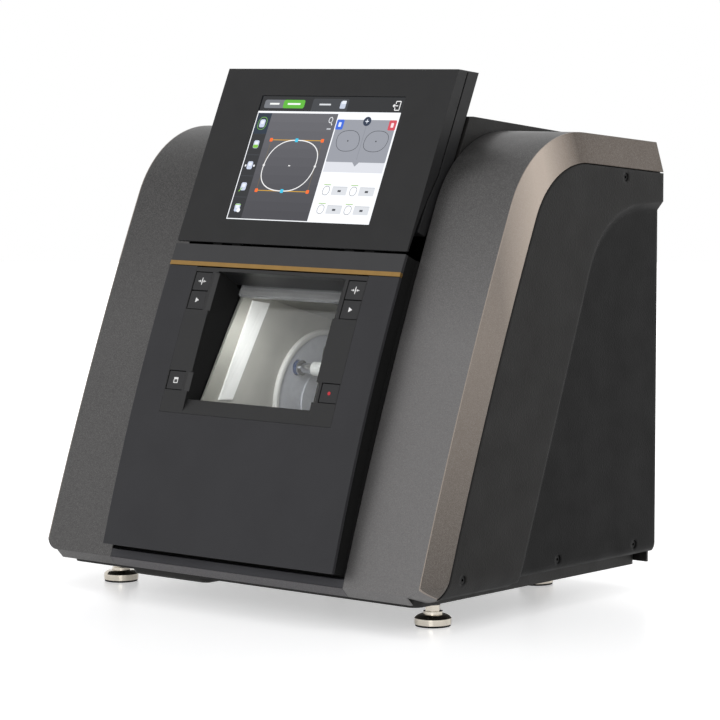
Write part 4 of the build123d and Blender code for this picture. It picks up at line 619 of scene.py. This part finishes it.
class PaintCovers(bpy.types.Operator):
    """Paint the wings, the side, top and rear covers, the sill and the base pan"""
    bl_idname = "edger.paint_covers"
    bl_label = "Paint Covers"

    def execute(self, context):
        look = context.scene.edger_covers
        dress(wing_paint_and_light(look), "left_wing_cover", "right_wing_cover")
        dress(side_black(look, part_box("right_side_cover")[1].x), "left_side_cover",
              "right_side_cover")
        dress(textured("cover_texture", look.side, look.side_rough, look.grain), "top_cover",
              "rear_cover")
        made, tree, shader = surface("sill_paint", look.sill, look.wing_rough)
        base = vary(tree, shader, look.sill, size=50 * MM, depth=0.05)
        flaked(tree, shader, base, look.wing_rough, look.flake)
        dress(made, "front_sill")
        dress(textured("pan_texture", look.pan, look.side_rough, look.grain), "base_pan")
        dress(metal("screw_oxide", grey(0.02), rough=0.35), "side_cover_screws")
        return {"FINISHED"}


class PaintFront(bpy.types.Operator):
    """Finish the front panel, the display's housing, the window surround and the keys"""
    bl_idname = "edger.paint_front"
    bl_label = "Paint Front"

    def execute(self, context):
        look = context.scene.edger_front
        # painted light: the chin strip is a lighter copy of the panel's grain, making up for the
        # shade beneath the panel
        chin_lit = times(look.panel, 1.8)
        for name, color, node in (("panel_grain", look.panel, "front_panel"),
                                  ("chin_grain", chin_lit, "chin_strip")):
            dress(textured(name, color, 0.5, look.grain, depth=0.3), node)
        dress(satin("header_satin", look.header, rough=0.42), "header_band")
        dress(metal("gold_brushed", look.gold, rough=0.4, lines=BRUSH_MARKS), "gold_trim")
        dress(satin("display_satin", look.display, rough=0.48, specular=0.3, rounding=0.8 * MM),
              "display_bezel", "display_rear_shell")
        dress(framed("window_surround", look), "window_bezel")
        dress(satin("frame_matt", look.gap, rough=0.8, specular=0.2), "front_frame", "door_rails")
        dress(satin("key_matt", look.key, rough=0.5), *["button_" + key for key in KEYS])
        return {"FINISHED"}


class PaintChamber(bpy.types.Operator):
    """Finish the grinding chamber with its door, discs, shafts, wheels and feeler"""
    bl_idname = "edger.paint_chamber"
    bl_label = "Paint Chamber"

    def execute(self, context):
        look = context.scene.edger_chamber
        dress(satin("chamber_enamel", look.wall, rough=0.4, depth=0.03), "chamber_left_wall",
              "chamber_right_wall")
        # painted shade: the shell is painted darker than the walls
        dress(satin("shell_enamel", look.shell_shade, rough=0.4, depth=0.03), "chamber_shell")
        dress(glowing("light_strip", (0.72, 0.71, 0.69), look.lamp), "chamber_light")
        dress(beaded_with_highlight("disc_enamel", look.disc, look.bead, "left_seal_disc"),
              "left_seal_disc", "right_seal_disc")
        dress(sleeved("shaft_and_sleeve", look), "left_lens_shaft")
        dress(metal("shaft_ground", look.steel, rough=0.22, lines=LATHE_MARKS), "right_lens_shaft",
              "guide_rods", "hinge_pins", "wheel_spindle", "spindle_bearings")
        dress(satin("cup_white", look.cup, rough=0.35), "left_lens_cup")
        dress(satin("pad_rubber", grey(0.03), rough=0.7, specular=0.2), "right_lens_pad")
        dress(satin("feeler_black", grey(0.008), rough=0.25), "feeler_arm")
        for name, text, wheel in (("wheel_rough_grit", "8f867a", "roughing_wheel"),
                                  ("wheel_fine_grit", "a79f90", "bevel_wheel"),
                                  ("wheel_polish_grit", "b8a98c", "polishing_wheel")):
            dress(grit(name, shade(text)), wheel)
        dress(clear("door_acrylic", (0.93, 0.95, 0.95), rough=0.02, through=1.0), "sliding_door")
        dress(clear("handle_acrylic", (0.78, 0.79, 0.8), rough=0.08, through=0.8), "door_handle")
        return {"FINISHED"}


class PaintDrive(bpy.types.Operator):
    """Finish the drive, the carriage, the hinges, the feet and the connectors"""
    bl_idname = "edger.paint_drive"
    bl_label = "Paint Drive"

    def execute(self, context):
        dress(metal("aluminium_machined", shade("a9abae"), rough=0.38, lines=MILL_MARKS),
              "spindle_housing", "traverse_yoke", "carriage_frame", "right_quill", "motor_pulley")
        dress(metal("zinc_plate", shade("9a9b9e"), rough=0.42, size=1.2 * MM), "inner_frame",
              "foot_studs")
        # painted shade: the brackets are painted black so that the gap under the display shows as a
        # dark line
        dress(satin("hinge_black", grey(0.006), rough=0.5, specular=0.2), "hinge_brackets")
        dress(metal("motor_casting", shade("6e7073"), rough=0.55, size=0.8 * MM, depth=0.4),
              "grinding_motor")
        dress(satin("belt_rubber", grey(0.012), rough=0.75, specular=0.2), "drive_belt")
        dress(satin("foot_rubber", grey(0.014), rough=0.8, specular=0.2), "foot_rubbers")
        dress(metal("nickel_plate", shade("c6bfb3"), rough=0.14, size=0.6 * MM, depth=0.04),
              "levelling_feet", "water_fittings")
        dress(satin("connector_black", grey(0.012), rough=0.45), "power_inlet", "power_rocker")
        return {"FINISHED"}


class PrintKeys(bpy.types.Operator):
    """Print the marks on the keys"""
    bl_idname = "edger.print_keys"
    bl_label = "Print Key Marks"

    def execute(self, context):
        look = context.scene.edger_front
        inks = {"white": look.mark, "red": look.stop, "key": look.key}
        made, tree, shader = surface("key_ink", look.mark, rough=0.45)
        printed(tree, shader)
        bump(tree, shader, noise(tree, 0.4 * MM), strength=0.05, distance=0.1 * MM)
        for key, mark in KEYS.items():
            out = key_face("key_" + key)
            relief = Relief(facing("button_" + key, out), RIGHT, out.cross(RIGHT))
            self.print_mark(relief, mark, inks, look.mark_height)
            relief.finish("key_mark_" + key, "key_" + key, "button_black", made)
        return {"FINISHED"}

    def print_mark(self, relief, mark, inks, top):
        """One key's mark: arrows closing on a lens, a start arrow, a door, or a stop dot."""
        low = -0.05 * MM  # a little inside the key, so that nothing shows between
        if mark == "clamp":
            tail, neck, line = 5.6 * MM, 2.6 * MM, 0.9 * MM
            barb, tip, half_head = 3.2 * MM, 1.4 * MM, 1.7 * MM
            for side in (-1, 1):
                relief.stroke([(tail * side, 0), (neck * side, 0)], line, low, top, inks["white"])
                head = [(tip * side, 0), (barb * side, -half_head), (barb * side, half_head)]
                relief.shape(head if side > 0 else head[::-1], low, top, inks["white"])
            lens = oval_points(0, 0, 0.75 * MM, 4.6 * MM, steps=16)
            relief.shape(lens, low, top, inks["white"])
        elif mark == "start":
            back, half, tip = -2.2 * MM, 2.9 * MM, 3.0 * MM
            relief.shape([(back, -half), (tip, 0), (back, half)], low, top, inks["white"])
        elif mark == "door":
            door = box_points(-3.2 * MM, -3.4 * MM, 3.2 * MM, 3.4 * MM, radius=0.6 * MM)
            pane = box_points(-2.1 * MM, -2.4 * MM, 2.1 * MM, 0.9 * MM, radius=0.3 * MM)
            over_door = top * 1.2
            relief.shape(door, low, top, inks["white"])
            relief.shape(pane, low, over_door, inks["key"])
        else:
            dot = 2.1 * MM
            relief.shape(oval_points(0, 0, dot, dot, steps=20), low, top, inks["red"])


# The picture's colours, as a screen shows them
LCD = {
    "ground": "14161a", "page": "f7f9fd", "switch": "6d7076", "switch_on": "58b32c",
    "switch_bar": "f2f4f2", "tab": "34373c", "tab_bar": "d5d8dc", "sheet": "c3cbdc",
    "sheet_top": "e6ebf4", "way_out": "f4f4f4", "column": "1b1d22", "chosen": "0f2438",
    "divider": "34383f", "tool": "c6cfe4", "tool_light": "e9eef8", "tool_lens": "6fae47",
    "tool_bar": "7ec23a", "tool_dot": "f4f6fa", "tool_line": "8cc63f", "datum": "c9992b",
    "datum_side": "6e6046", "traced": "f2f2f2", "corner": "ff6a1c", "handle": "35c3e6",
    "side_dot": "e6e6e6", "magnifier": "e8eaee", "field_bar": "c2c5cb", "pair": "93969f",
    "pair_foot": "d8dae1", "pair_line": "7f828b", "pair_lens": "3c3f46", "blue_tag": "2f62d4",
    "blue_mark": "dfe7fb", "red_tag": "cd4655", "red_mark": "f8dfe2", "sight": "1b2b44",
    "cross": "e8eef8", "value_lens": "5d6168", "value_line": "86b93c", "value_field": "d6d9de",
    "value_top": "9a9da3", "figure": "44474d",
}


def lcd(color):
    """Linear colour from a name in the list above or from a hex value."""
    return shade(LCD.get(color, color))


class DrawScreen(bpy.types.Operator):
    """Draw the picture on the display and finish its glass"""
    bl_idname = "edger.draw_screen"
    bl_label = "Draw Screen"

    def execute(self, context):
        look = context.scene.edger_screen
        glass_rough = 0.08
        glass, tree, shader = surface("screen_glass", shade("0b0d10"), glass_rough)
        rough_spread(tree, shader, glass_rough, depth=0.02, size=40 * MM)
        dress(glass, "display_screen")
        made, tree, shader = surface("screen_picture", grey(0.5), rough=0.1, specular=0.4)
        ink = printed(tree, shader)
        swallowed = 0.9  # share of the room's light that the picture doesn't throw back
        reflected = mixed(tree, swallowed, ink, grey(0.0))
        tree.links.new(reflected, shader.inputs["Base Color"])
        tree.links.new(ink, shader.inputs["Emission Color"])
        shader.inputs["Emission Strength"].default_value = look.glow
        out = Vector((0, -math.cos(DISPLAY_TILT), math.sin(DISPLAY_TILT)))
        self.relief = Relief(facing("display_screen", out), RIGHT, out.cross(RIGHT))
        self.layer, self.stroke, self.steps = look.layer, look.stroke, look.outline_steps
        self.draw_picture()
        self.relief.finish("screen_picture", "display", "screen_glass", made)
        return {"FINISHED"}

    def point(self, u, v):
        """A place on the picture from shares of its width and of its height, from the top left."""
        return ((u - 0.5) * SCREEN_WIDE, (0.5 - v) * SCREEN_HIGH)

    def rect(self, u0, v0, u1, v1, color, layer, radius=0.0):
        """A field from its top left to its bottom right, its corners rounded in millimetres."""
        left, high = self.point(u0, v0)
        right, low = self.point(u1, v1)
        self.relief.shape(box_points(left, low, right, high, radius * MM), 0,
                          self.layer * layer, lcd(color))

    def line(self, points, color, layer, width=1.0):
        """A line along points, its width in strokes."""
        self.relief.stroke([self.point(*p) for p in points], self.stroke * width, 0,
                           self.layer * layer, lcd(color))

    def dot(self, u, v, radius, color, layer, steps=20):
        """A round dot, its radius in millimetres."""
        x, y = self.point(u, v)
        self.relief.shape(oval_points(x, y, radius * MM, radius * MM, steps), 0, self.layer * layer,
                          lcd(color))

    def lens(self, u, v, wide, high, color, layer, width=1.0, mirror=1):
        """A lens outline from shares of the picture's width and height."""
        x, y = self.point(u, v)
        outline = oval_points(x, y, wide * SCREEN_WIDE, high * SCREEN_HIGH, self.steps,
                              square=2.35, lean=0.1 * mirror)
        self.relief.stroke(outline, self.stroke * width, 0, self.layer * layer, lcd(color),
                           closed=True)

    def draw_picture(self):
        self.rect(0.0, 0.0, 1.0, 1.0, "ground", 1)
        self.header()
        self.rect(0.0, 0.124, 1.0, 1.0, "page", 2)
        self.tools()
        self.trace()
        self.pair()
        self.values()

    def header(self):
        """Dark bar with a two-part switch, a tab and a way-out sign."""
        self.rect(0.030, 0.032, 0.180, 0.100, "switch", 2, 2.5)
        self.rect(0.165, 0.032, 0.315, 0.100, "switch_on", 3, 2.5)
        for left, right in ((0.068, 0.135), (0.195, 0.285)):
            self.rect(left, 0.058, right, 0.072, "switch_bar", 4)
        self.rect(0.370, 0.020, 0.620, 0.124, "tab", 2, 2.0)
        self.rect(0.420, 0.060, 0.500, 0.073, "tab_bar", 3)
        self.rect(0.566, 0.040, 0.604, 0.098, "sheet", 3, 1.5)
        self.rect(0.574, 0.035, 0.604, 0.060, "sheet_top", 4, 0.8)
        self.line([(0.945, 0.055), (0.945, 0.035), (0.975, 0.035), (0.975, 0.105), (0.945, 0.105),
                   (0.945, 0.085)], "way_out", 3)
        self.line([(0.962, 0.070), (0.930, 0.070)], "way_out", 3)
        self.line([(0.940, 0.058), (0.928, 0.070), (0.940, 0.082)], "way_out", 3)

    def tools(self):
        """Column of five tool fields, the first one chosen."""
        first, last, pitch = 0.140, 0.990, 0.170
        self.rect(0.006, first, 0.104, last, "column", 3)
        for index in range(5):
            top = first + pitch * index
            middle = top + pitch / 2
            if index == 0:
                self.rect(0.006, top, 0.104, top + pitch, "chosen", 4)
            else:
                self.rect(0.010, top - 0.002, 0.100, top + 0.002, "divider", 4)
            self.rect(0.036, middle - 0.032, 0.074, middle + 0.032, "tool", 5, 2.2)
            self.rect(0.044, middle - 0.022, 0.066, middle + 0.004, "tool_light", 6, 1.2)
        self.lens(0.055, 0.225, 0.030, 0.050, "tool_lens", 5, 0.7)
        self.rect(0.038, 0.398, 0.072, 0.424, "tool_bar", 7, 1.0)
        for left in (0.020, 0.080):
            self.rect(left, 0.560, left + 0.010, 0.575, "tool_dot", 5)
        self.line([(0.030, 0.775), (0.050, 0.745)], "tool_line", 7)
        self.dot(0.068, 0.925, 2.6, "tool_dot", 7)
        self.line([(0.036, 0.880), (0.074, 0.880)], "tool_line", 7)

    def trace(self):
        """Grey field, darker towards its foot, with the traced lens, its frame and handles."""
        field_top, field_high, bands = 0.140, 0.850, 12
        for step in range(bands):
            top = field_top + field_high / bands * step
            level = 0x5e - step * 3
            color = "%02x%02x%02x" % (level, level, level + 6)
            self.rect(0.104, top, 0.572, top + field_high / bands, color, 3)
        left, right, high, low = 0.154, 0.515, 0.356, 0.762
        for v in (high, low):
            self.line([(left, v), (right, v)], "datum", 4)
        for u in (left, right):
            self.line([(u, high), (u, low)], "datum_side", 4, 0.6)
        self.lens(0.3345, 0.559, 0.1805, 0.203, "traced", 5, 1.2)
        for u, v in ((left, high), (right, high), (left, low), (right, low)):
            self.rect(u - 0.010, v - 0.014, u + 0.010, v + 0.014, "corner", 6, 0.8)
        for v in (high, low):
            self.rect(0.324, v - 0.015, 0.345, v + 0.015, "handle", 6, 0.8)
        for u in (left, right):
            self.dot(u, 0.56, 1.6, "side_dot", 6)
        self.rect(0.328, 0.556, 0.341, 0.564, "traced", 6)
        x, y = self.point(0.532, 0.190)
        self.relief.stroke(oval_points(x, y, 2.6 * MM, 3.4 * MM, steps=20), 0.9 * MM, 0,
                           self.layer * 4, lcd("magnifier"), closed=True)
        self.line([(0.541, 0.215), (0.548, 0.232)], "magnifier", 4, 1.2)
        self.rect(0.520, 0.256, 0.548, 0.266, "field_bar", 4)

    def pair(self):
        """Light panel with the two lenses side by side and their tags."""
        left, right, top, foot = 0.580, 0.984, 0.184, 0.520
        self.rect(left, top, right, foot, "pair", 3, 1.5)
        x, y = self.point(0.786, foot)
        pointer = 5 * MM
        self.relief.shape([(x - pointer, y + 0.2 * MM), (x, y - pointer),
                           (x + pointer, y + 0.2 * MM)], 0, self.layer * 4, lcd("pair"))
        self.rect(left, foot, right, 0.600, "pair_foot", 3)
        self.line([(0.786, 0.200), (0.786, 0.500)], "pair_line", 4, 0.5)
        for u, mirror in ((0.690, -1), (0.882, 1)):
            self.lens(u, 0.352, 0.078, 0.082, "pair_lens", 5, 0.6, mirror)
            self.dot(u, 0.352, 1.0, "pair_lens", 5, steps=10)
        for u, name in ((0.578, "blue"), (0.936, "red")):
            self.rect(u, top, u + 0.050, top + 0.080, name + "_tag", 5, 1.5)
            self.rect(u + 0.016, top + 0.022, u + 0.034, top + 0.058, name + "_mark", 6, 0.8)
        self.dot(0.784, 0.196, 5.6, "sight", 6, steps=28)
        self.line([(0.772, 0.196), (0.796, 0.196)], "cross", 7, 0.9)
        self.line([(0.784, 0.180), (0.784, 0.212)], "cross", 7, 0.9)

    def values(self):
        """Four small outlines, each with a value field."""
        for v in (0.746, 0.893):
            for u in (0.640, 0.826):
                self.lens(u, v, 0.022, 0.034, "value_lens", 4, 0.55)
                self.line([(u - 0.024, v - 0.046), (u + 0.024, v - 0.046)], "value_line", 5, 0.8)
                self.rect(u + 0.040, v - 0.033, u + 0.142, v + 0.033, "value_field", 4, 1.0)
                self.line([(u + 0.042, v - 0.032), (u + 0.140, v - 0.032)], "value_top", 5, 0.4)
                self.rect(u + 0.080, v - 0.007, u + 0.102, v + 0.009, "figure", 5)


SEAL_INSIDE, SEAL_OUTSIDE = 4 * MM, 4.8 * MM  # of a side seal, from the rear cover's edge
SEAL_SHORTER = 30 * MM  # than the rear cover, at each end
MAT_GAP = 0.3 * MM  # between the rear cover and the foam


class FitFilters(bpy.types.Operator):
    """Fit the filter mats behind the rear vents and the seals beside the rear cover"""
    bl_idname = "edger.fit_filters"
    bl_label = "Fit Filters"

    def execute(self, context):
        look = context.scene.edger_fixings
        low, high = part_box("rear_cover")
        black = grey(0.01)
        foam = satin("filter_foam", black, rough=0.9, specular=0.1, size=1.6 * MM, depth=0.8)
        mats = Relief(Vector((0, low.y - MAT_GAP, 0)), RIGHT, UP)
        for side in (-1, 1):
            left, right = sorted(((high.x - SEAL_INSIDE) * side, (high.x + SEAL_OUTSIDE) * side))
            mats.shape(box_points(left, low.z + SEAL_SHORTER, right, high.z - SEAL_SHORTER,
                                  radius=2 * MM), 0, look.mat_thick, black)
            middle = VENT_X * side
            mats.shape(box_points(middle - look.mat_wide / 2, VENT_Z - look.mat_high / 2,
                                  middle + look.mat_wide / 2, VENT_Z + look.mat_high / 2,
                                  radius=6 * MM), 0, look.mat_thick, black)
        mats.finish("vent_filters", "root", "cover_black", foam)
        return {"FINISHED"}


class FitFixings(bpy.types.Operator):
    """Fit the screws round the rear cover"""
    bl_idname = "edger.fit_fixings"
    bl_label = "Fit Fixings"

    def execute(self, context):
        look = context.scene.edger_fixings
        low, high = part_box("rear_cover")
        left, right = low.x + look.edge, high.x - look.edge
        bottom, top = low.z + look.edge, high.z - look.edge
        places = [(x, z) for x in (left, right) for z in (bottom, (bottom + top) / 2, top)]
        places += [(x, z) for x in (left / 3, right / 3) for z in (bottom, top)]
        data = bpy.data.meshes.new("rear_screws")
        data.from_pydata([(x, high.y, z) for x, z in places], [], [])
        made = add_object("rear_screws", data)
        sizes = {"Head Radius": look.head, "Head Height": look.dome, "Socket Radius": look.socket}
        tree = self.tree(metal("rear_screw_oxide", grey(0.03), rough=0.3), sizes)
        modifier = made.modifiers.new("screws", "NODES")
        modifier.node_group = tree
        for item in tree.interface.items_tree:
            if item.name in sizes:
                modifier[item.identifier] = sizes[item.name]
        context.view_layer.update()
        graph = context.evaluated_depsgraph_get()
        plain = bpy.data.meshes.new_from_object(made.evaluated_get(graph), depsgraph=graph)
        made.modifiers.remove(modifier)
        made.data = plain
        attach(made, "root")
        return {"FINISHED"}

    def tree(self, material, sizes):
        """Domed heads with hexagon sockets on every point, facing backwards."""
        tree = bpy.data.node_groups.new("rear_screw_heads", "GeometryNodeTree")
        face = tree.interface
        face.new_socket("Geometry", in_out="INPUT", socket_type="NodeSocketGeometry")
        for name, value in sizes.items():
            socket = face.new_socket(name, in_out="INPUT", socket_type="NodeSocketFloat")
            socket.default_value = value
            socket.subtype = "DISTANCE"
        face.new_socket("Geometry", in_out="OUTPUT", socket_type="NodeSocketGeometry")

        def add(kind, **inputs):
            """Add a node; an underscore in an input's name stands for a space."""
            made = tree.nodes.new(kind)
            for name, value in inputs.items():
                socket = made.inputs[name.replace("_", " ")]
                if isinstance(value, bpy.types.NodeSocket):
                    tree.links.new(value, socket)
                else:
                    socket.default_value = value
            return made

        entry = tree.nodes.new("NodeGroupInput").outputs
        leave = tree.nodes.new("NodeGroupOutput")
        ball = add("GeometryNodeMeshUVSphere", Segments=24, Rings=12, Radius=1.0).outputs["Mesh"]
        sides = add("ShaderNodeCombineXYZ", X=entry["Head Radius"], Y=entry["Head Radius"],
                    Z=entry["Head Height"]).outputs[0]
        dome = add("GeometryNodeTransform", Geometry=ball, Scale=sides).outputs[0]
        hexagon = add("GeometryNodeMeshCylinder", Vertices=6, Radius=entry["Socket Radius"],
                      Depth=entry["Head Height"]).outputs["Mesh"]
        lift = add("ShaderNodeCombineXYZ", Z=entry["Head Height"]).outputs[0]
        hexagon = add("GeometryNodeTransform", Geometry=hexagon, Translation=lift).outputs[0]
        head = tree.nodes.new("GeometryNodeMeshBoolean")
        head.operation = "DIFFERENCE"
        tree.links.new(dome, head.inputs["Mesh 1"])
        tree.links.new(hexagon, head.inputs["Mesh 2"])
        spots = add("GeometryNodeInstanceOnPoints", Points=entry["Geometry"],
                    Instance=head.outputs[0], Rotation=(math.radians(-90), 0, 0))
        real = add("GeometryNodeRealizeInstances", Geometry=spots.outputs[0])
        done = add("GeometryNodeSetMaterial", Geometry=real.outputs[0], Material=material)
        tree.links.new(done.outputs[0], leave.inputs[0])
        return tree


TABLE_RADIUS, TABLE_SIDES = 6.0, 96  # a circle of straight sides
FADE_START, FADE_END, FADE_LIFT = 0.7, 2.6, 1.8  # where the table turns into the surroundings
HOUSING_MIDDLE = (0, 0, 0.3)
SOFTBOXES = (  # name, place, what it looks at, size, setting of its power, rays that miss it
    ("key_softbox", (1.0, -2.6, 1.8), HOUSING_MIDDLE, 1.7, "key_power", ()),
    ("fill_softbox", (2.2, -1.0, 2.2), HOUSING_MIDDLE, 0.9, "fill_power", ()),
    ("rim_softbox", (1.3, 2.7, 1.1), HOUSING_MIDDLE, 1.2, "rim_power", ()),
    ("top_softbox", (0.2, 0.3, 2.6), HOUSING_MIDDLE, 2.0, "top_power", ()),
    ("near_softbox", (0.9, -1.5, 0.5), (0.12, -0.1, 0.25), 0.6, "near_power",
     ("camera", "transmission")),
)
LAMP_SIZE = 40 * MM
LAMP_PLACE = Vector((50, 50, -33)) * MM  # from the chamber's left front corner at the ceiling
LAMP_AIM = Vector((0, 65, -120)) * MM  # from the same corner
CAMERA_PLACE = (2.3449, -2.7600, 0.6008)
CAMERA_BACK, CAMERA_RIGHT = (0.64092, -0.76191, 0.09324), (0.76525, 0.64373, 0)
SENSOR_WIDE = 36  # millimetres


class SetStage(bpy.types.Operator):
    """Set up the floor, the lights, the surroundings and the camera"""
    bl_idname = "edger.set_stage"
    bl_label = "Set Stage"

    def execute(self, context):
        look = context.scene.edger_studio
        self.floor(look)
        self.world(context, look)
        for name, spot, aim, size, setting, hidden in SOFTBOXES:
            self.softbox(name, Vector(spot), Vector(aim), size, getattr(look, setting), hidden)
        low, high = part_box("chamber_shell")
        corner = Vector((low.x, low.y, high.z))
        self.softbox("chamber_lamp", corner + LAMP_PLACE, corner + LAMP_AIM, LAMP_SIZE,
                     look.chamber_power, ("camera", "transmission", "glossy"))
        self.camera(context, look)
        context.scene.view_settings.view_transform = "Standard"
        return {"FINISHED"}

    def floor(self, look):
        """A round white table top that fades into the surroundings."""
        data = bpy.data.meshes.new("table_top")
        grid = bmesh.new()
        bmesh.ops.create_circle(grid, cap_ends=True, cap_tris=True, segments=TABLE_SIDES,
                                radius=TABLE_RADIUS)
        grid.to_mesh(data)
        grid.free()
        made = add_object("table_top", data)
        material, tree, shader = surface("table_white", look.floor, rough=0.28, specular=0.35)
        vary(tree, shader, look.floor, size=400 * MM, depth=0.01)
        where = put(tree, "TexCoord").outputs["Object"]
        away = put(tree, "VectorMath", {0: where}, operation="LENGTH").outputs["Value"]
        lift = spread(tree, away, FADE_START, FADE_END, look.floor_lift,
                      look.floor_lift * FADE_LIFT)
        shader.inputs["Emission Color"].default_value = (1, 1, 1, 1)
        tree.links.new(worked(tree, "MULTIPLY", self.seen(tree), lift),
                       shader.inputs["Emission Strength"])
        data.materials.append(material)

    def seen(self, tree):
        """One for the rays of the eye, of gloss and of glass, nought for light."""
        rays = put(tree, "LightPath").outputs
        seen = rays["Is Camera Ray"]
        for name in ("Is Glossy Ray", "Is Transmission Ray"):
            seen = worked(tree, "MAXIMUM", seen, rays[name])
        return seen

    def world(self, context, look):
        """White to the eye and to gloss and glass, softer as a light."""
        world = bpy.data.worlds.new("surroundings")
        context.scene.world = world
        world.use_nodes = True
        tree = world.node_tree
        tree.nodes.clear()
        strength = spread(tree, self.seen(tree), 0, 1, look.ambient, 1.0)
        glow = put(tree, "Background", {"Color": (1, 1, 1, 1), "Strength": strength})
        tree.links.new(glow.outputs[0], put(tree, "OutputWorld").inputs["Surface"])

    def softbox(self, name, spot, aim, size, power, hidden):
        """A square area light aimed at a point; some kinds of ray may miss it."""
        data = bpy.data.lights.new(name, "AREA")
        data.energy = power
        data.size = size
        made = add_object(name, data)
        made.location = spot
        made.rotation_euler = (aim - spot).to_track_quat("-Z", "Y").to_euler()
        for ray in hidden:
            setattr(made, "visible_" + ray, False)

    def camera(self, context, look):
        """The photograph's place and angle."""
        data = bpy.data.cameras.new("camera")
        data.lens = look.lens
        data.sensor_width = SENSOR_WIDE
        made = add_object("camera", data)
        back, right = Vector(CAMERA_BACK).normalized(), Vector(CAMERA_RIGHT).normalized()
        turned = Matrix((right, back.cross(right), back)).transposed().to_4x4()
        made.matrix_world = Matrix.Translation(CAMERA_PLACE) @ turned
        context.scene.camera = made


class EdgerPanel(bpy.types.Panel):
    """Lens edger looks"""
    bl_idname = "VIEW3D_PT_edger"
    bl_label = "Lens Edger"
    bl_space_type = "VIEW_3D"
    bl_region_type = "UI"
    bl_category = "Edger"

    def draw(self, context):
        for name, _, operators in GROUPS:
            box = self.layout.box()
            for operator in operators:
                box.operator(operator.bl_idname)
            for item in getattr(context.scene, name).bl_rna.properties:
                if item.identifier not in ("rna_type", "name"):
                    box.prop(getattr(context.scene, name), item.identifier)


# Each group of settings with the operators listed under it, in the order in which they run
GROUPS = (
    ("edger_covers", CoverSettings, (PaintCovers,)),
    ("edger_front", FrontSettings, (PaintFront, PrintKeys)),
    ("edger_chamber", ChamberSettings, (PaintChamber, PaintDrive)),
    ("edger_screen", ScreenSettings, (DrawScreen,)),
    ("edger_fixings", FixingSettings, (FitFixings, FitFilters)),
    ("edger_studio", StudioSettings, (SetStage,)),
)


def register():
    for name, settings, operators in GROUPS:
        bpy.utils.register_class(settings)
        setattr(bpy.types.Scene, name, PointerProperty(type=settings))
        for operator in operators:
            bpy.utils.register_class(operator)
    bpy.utils.register_class(EdgerPanel)


def unregister():
    bpy.utils.unregister_class(EdgerPanel)
    for name, settings, operators in reversed(GROUPS):
        for operator in operators:
            bpy.utils.unregister_class(operator)
        delattr(bpy.types.Scene, name)
        bpy.utils.unregister_class(settings)


def main():
    register()
    for _, _, operators in GROUPS:
        for operator in operators:
            group, name = operator.bl_idname.split(".")
            getattr(getattr(bpy.ops, group), name)()


if __name__ == "__main__":
    main()
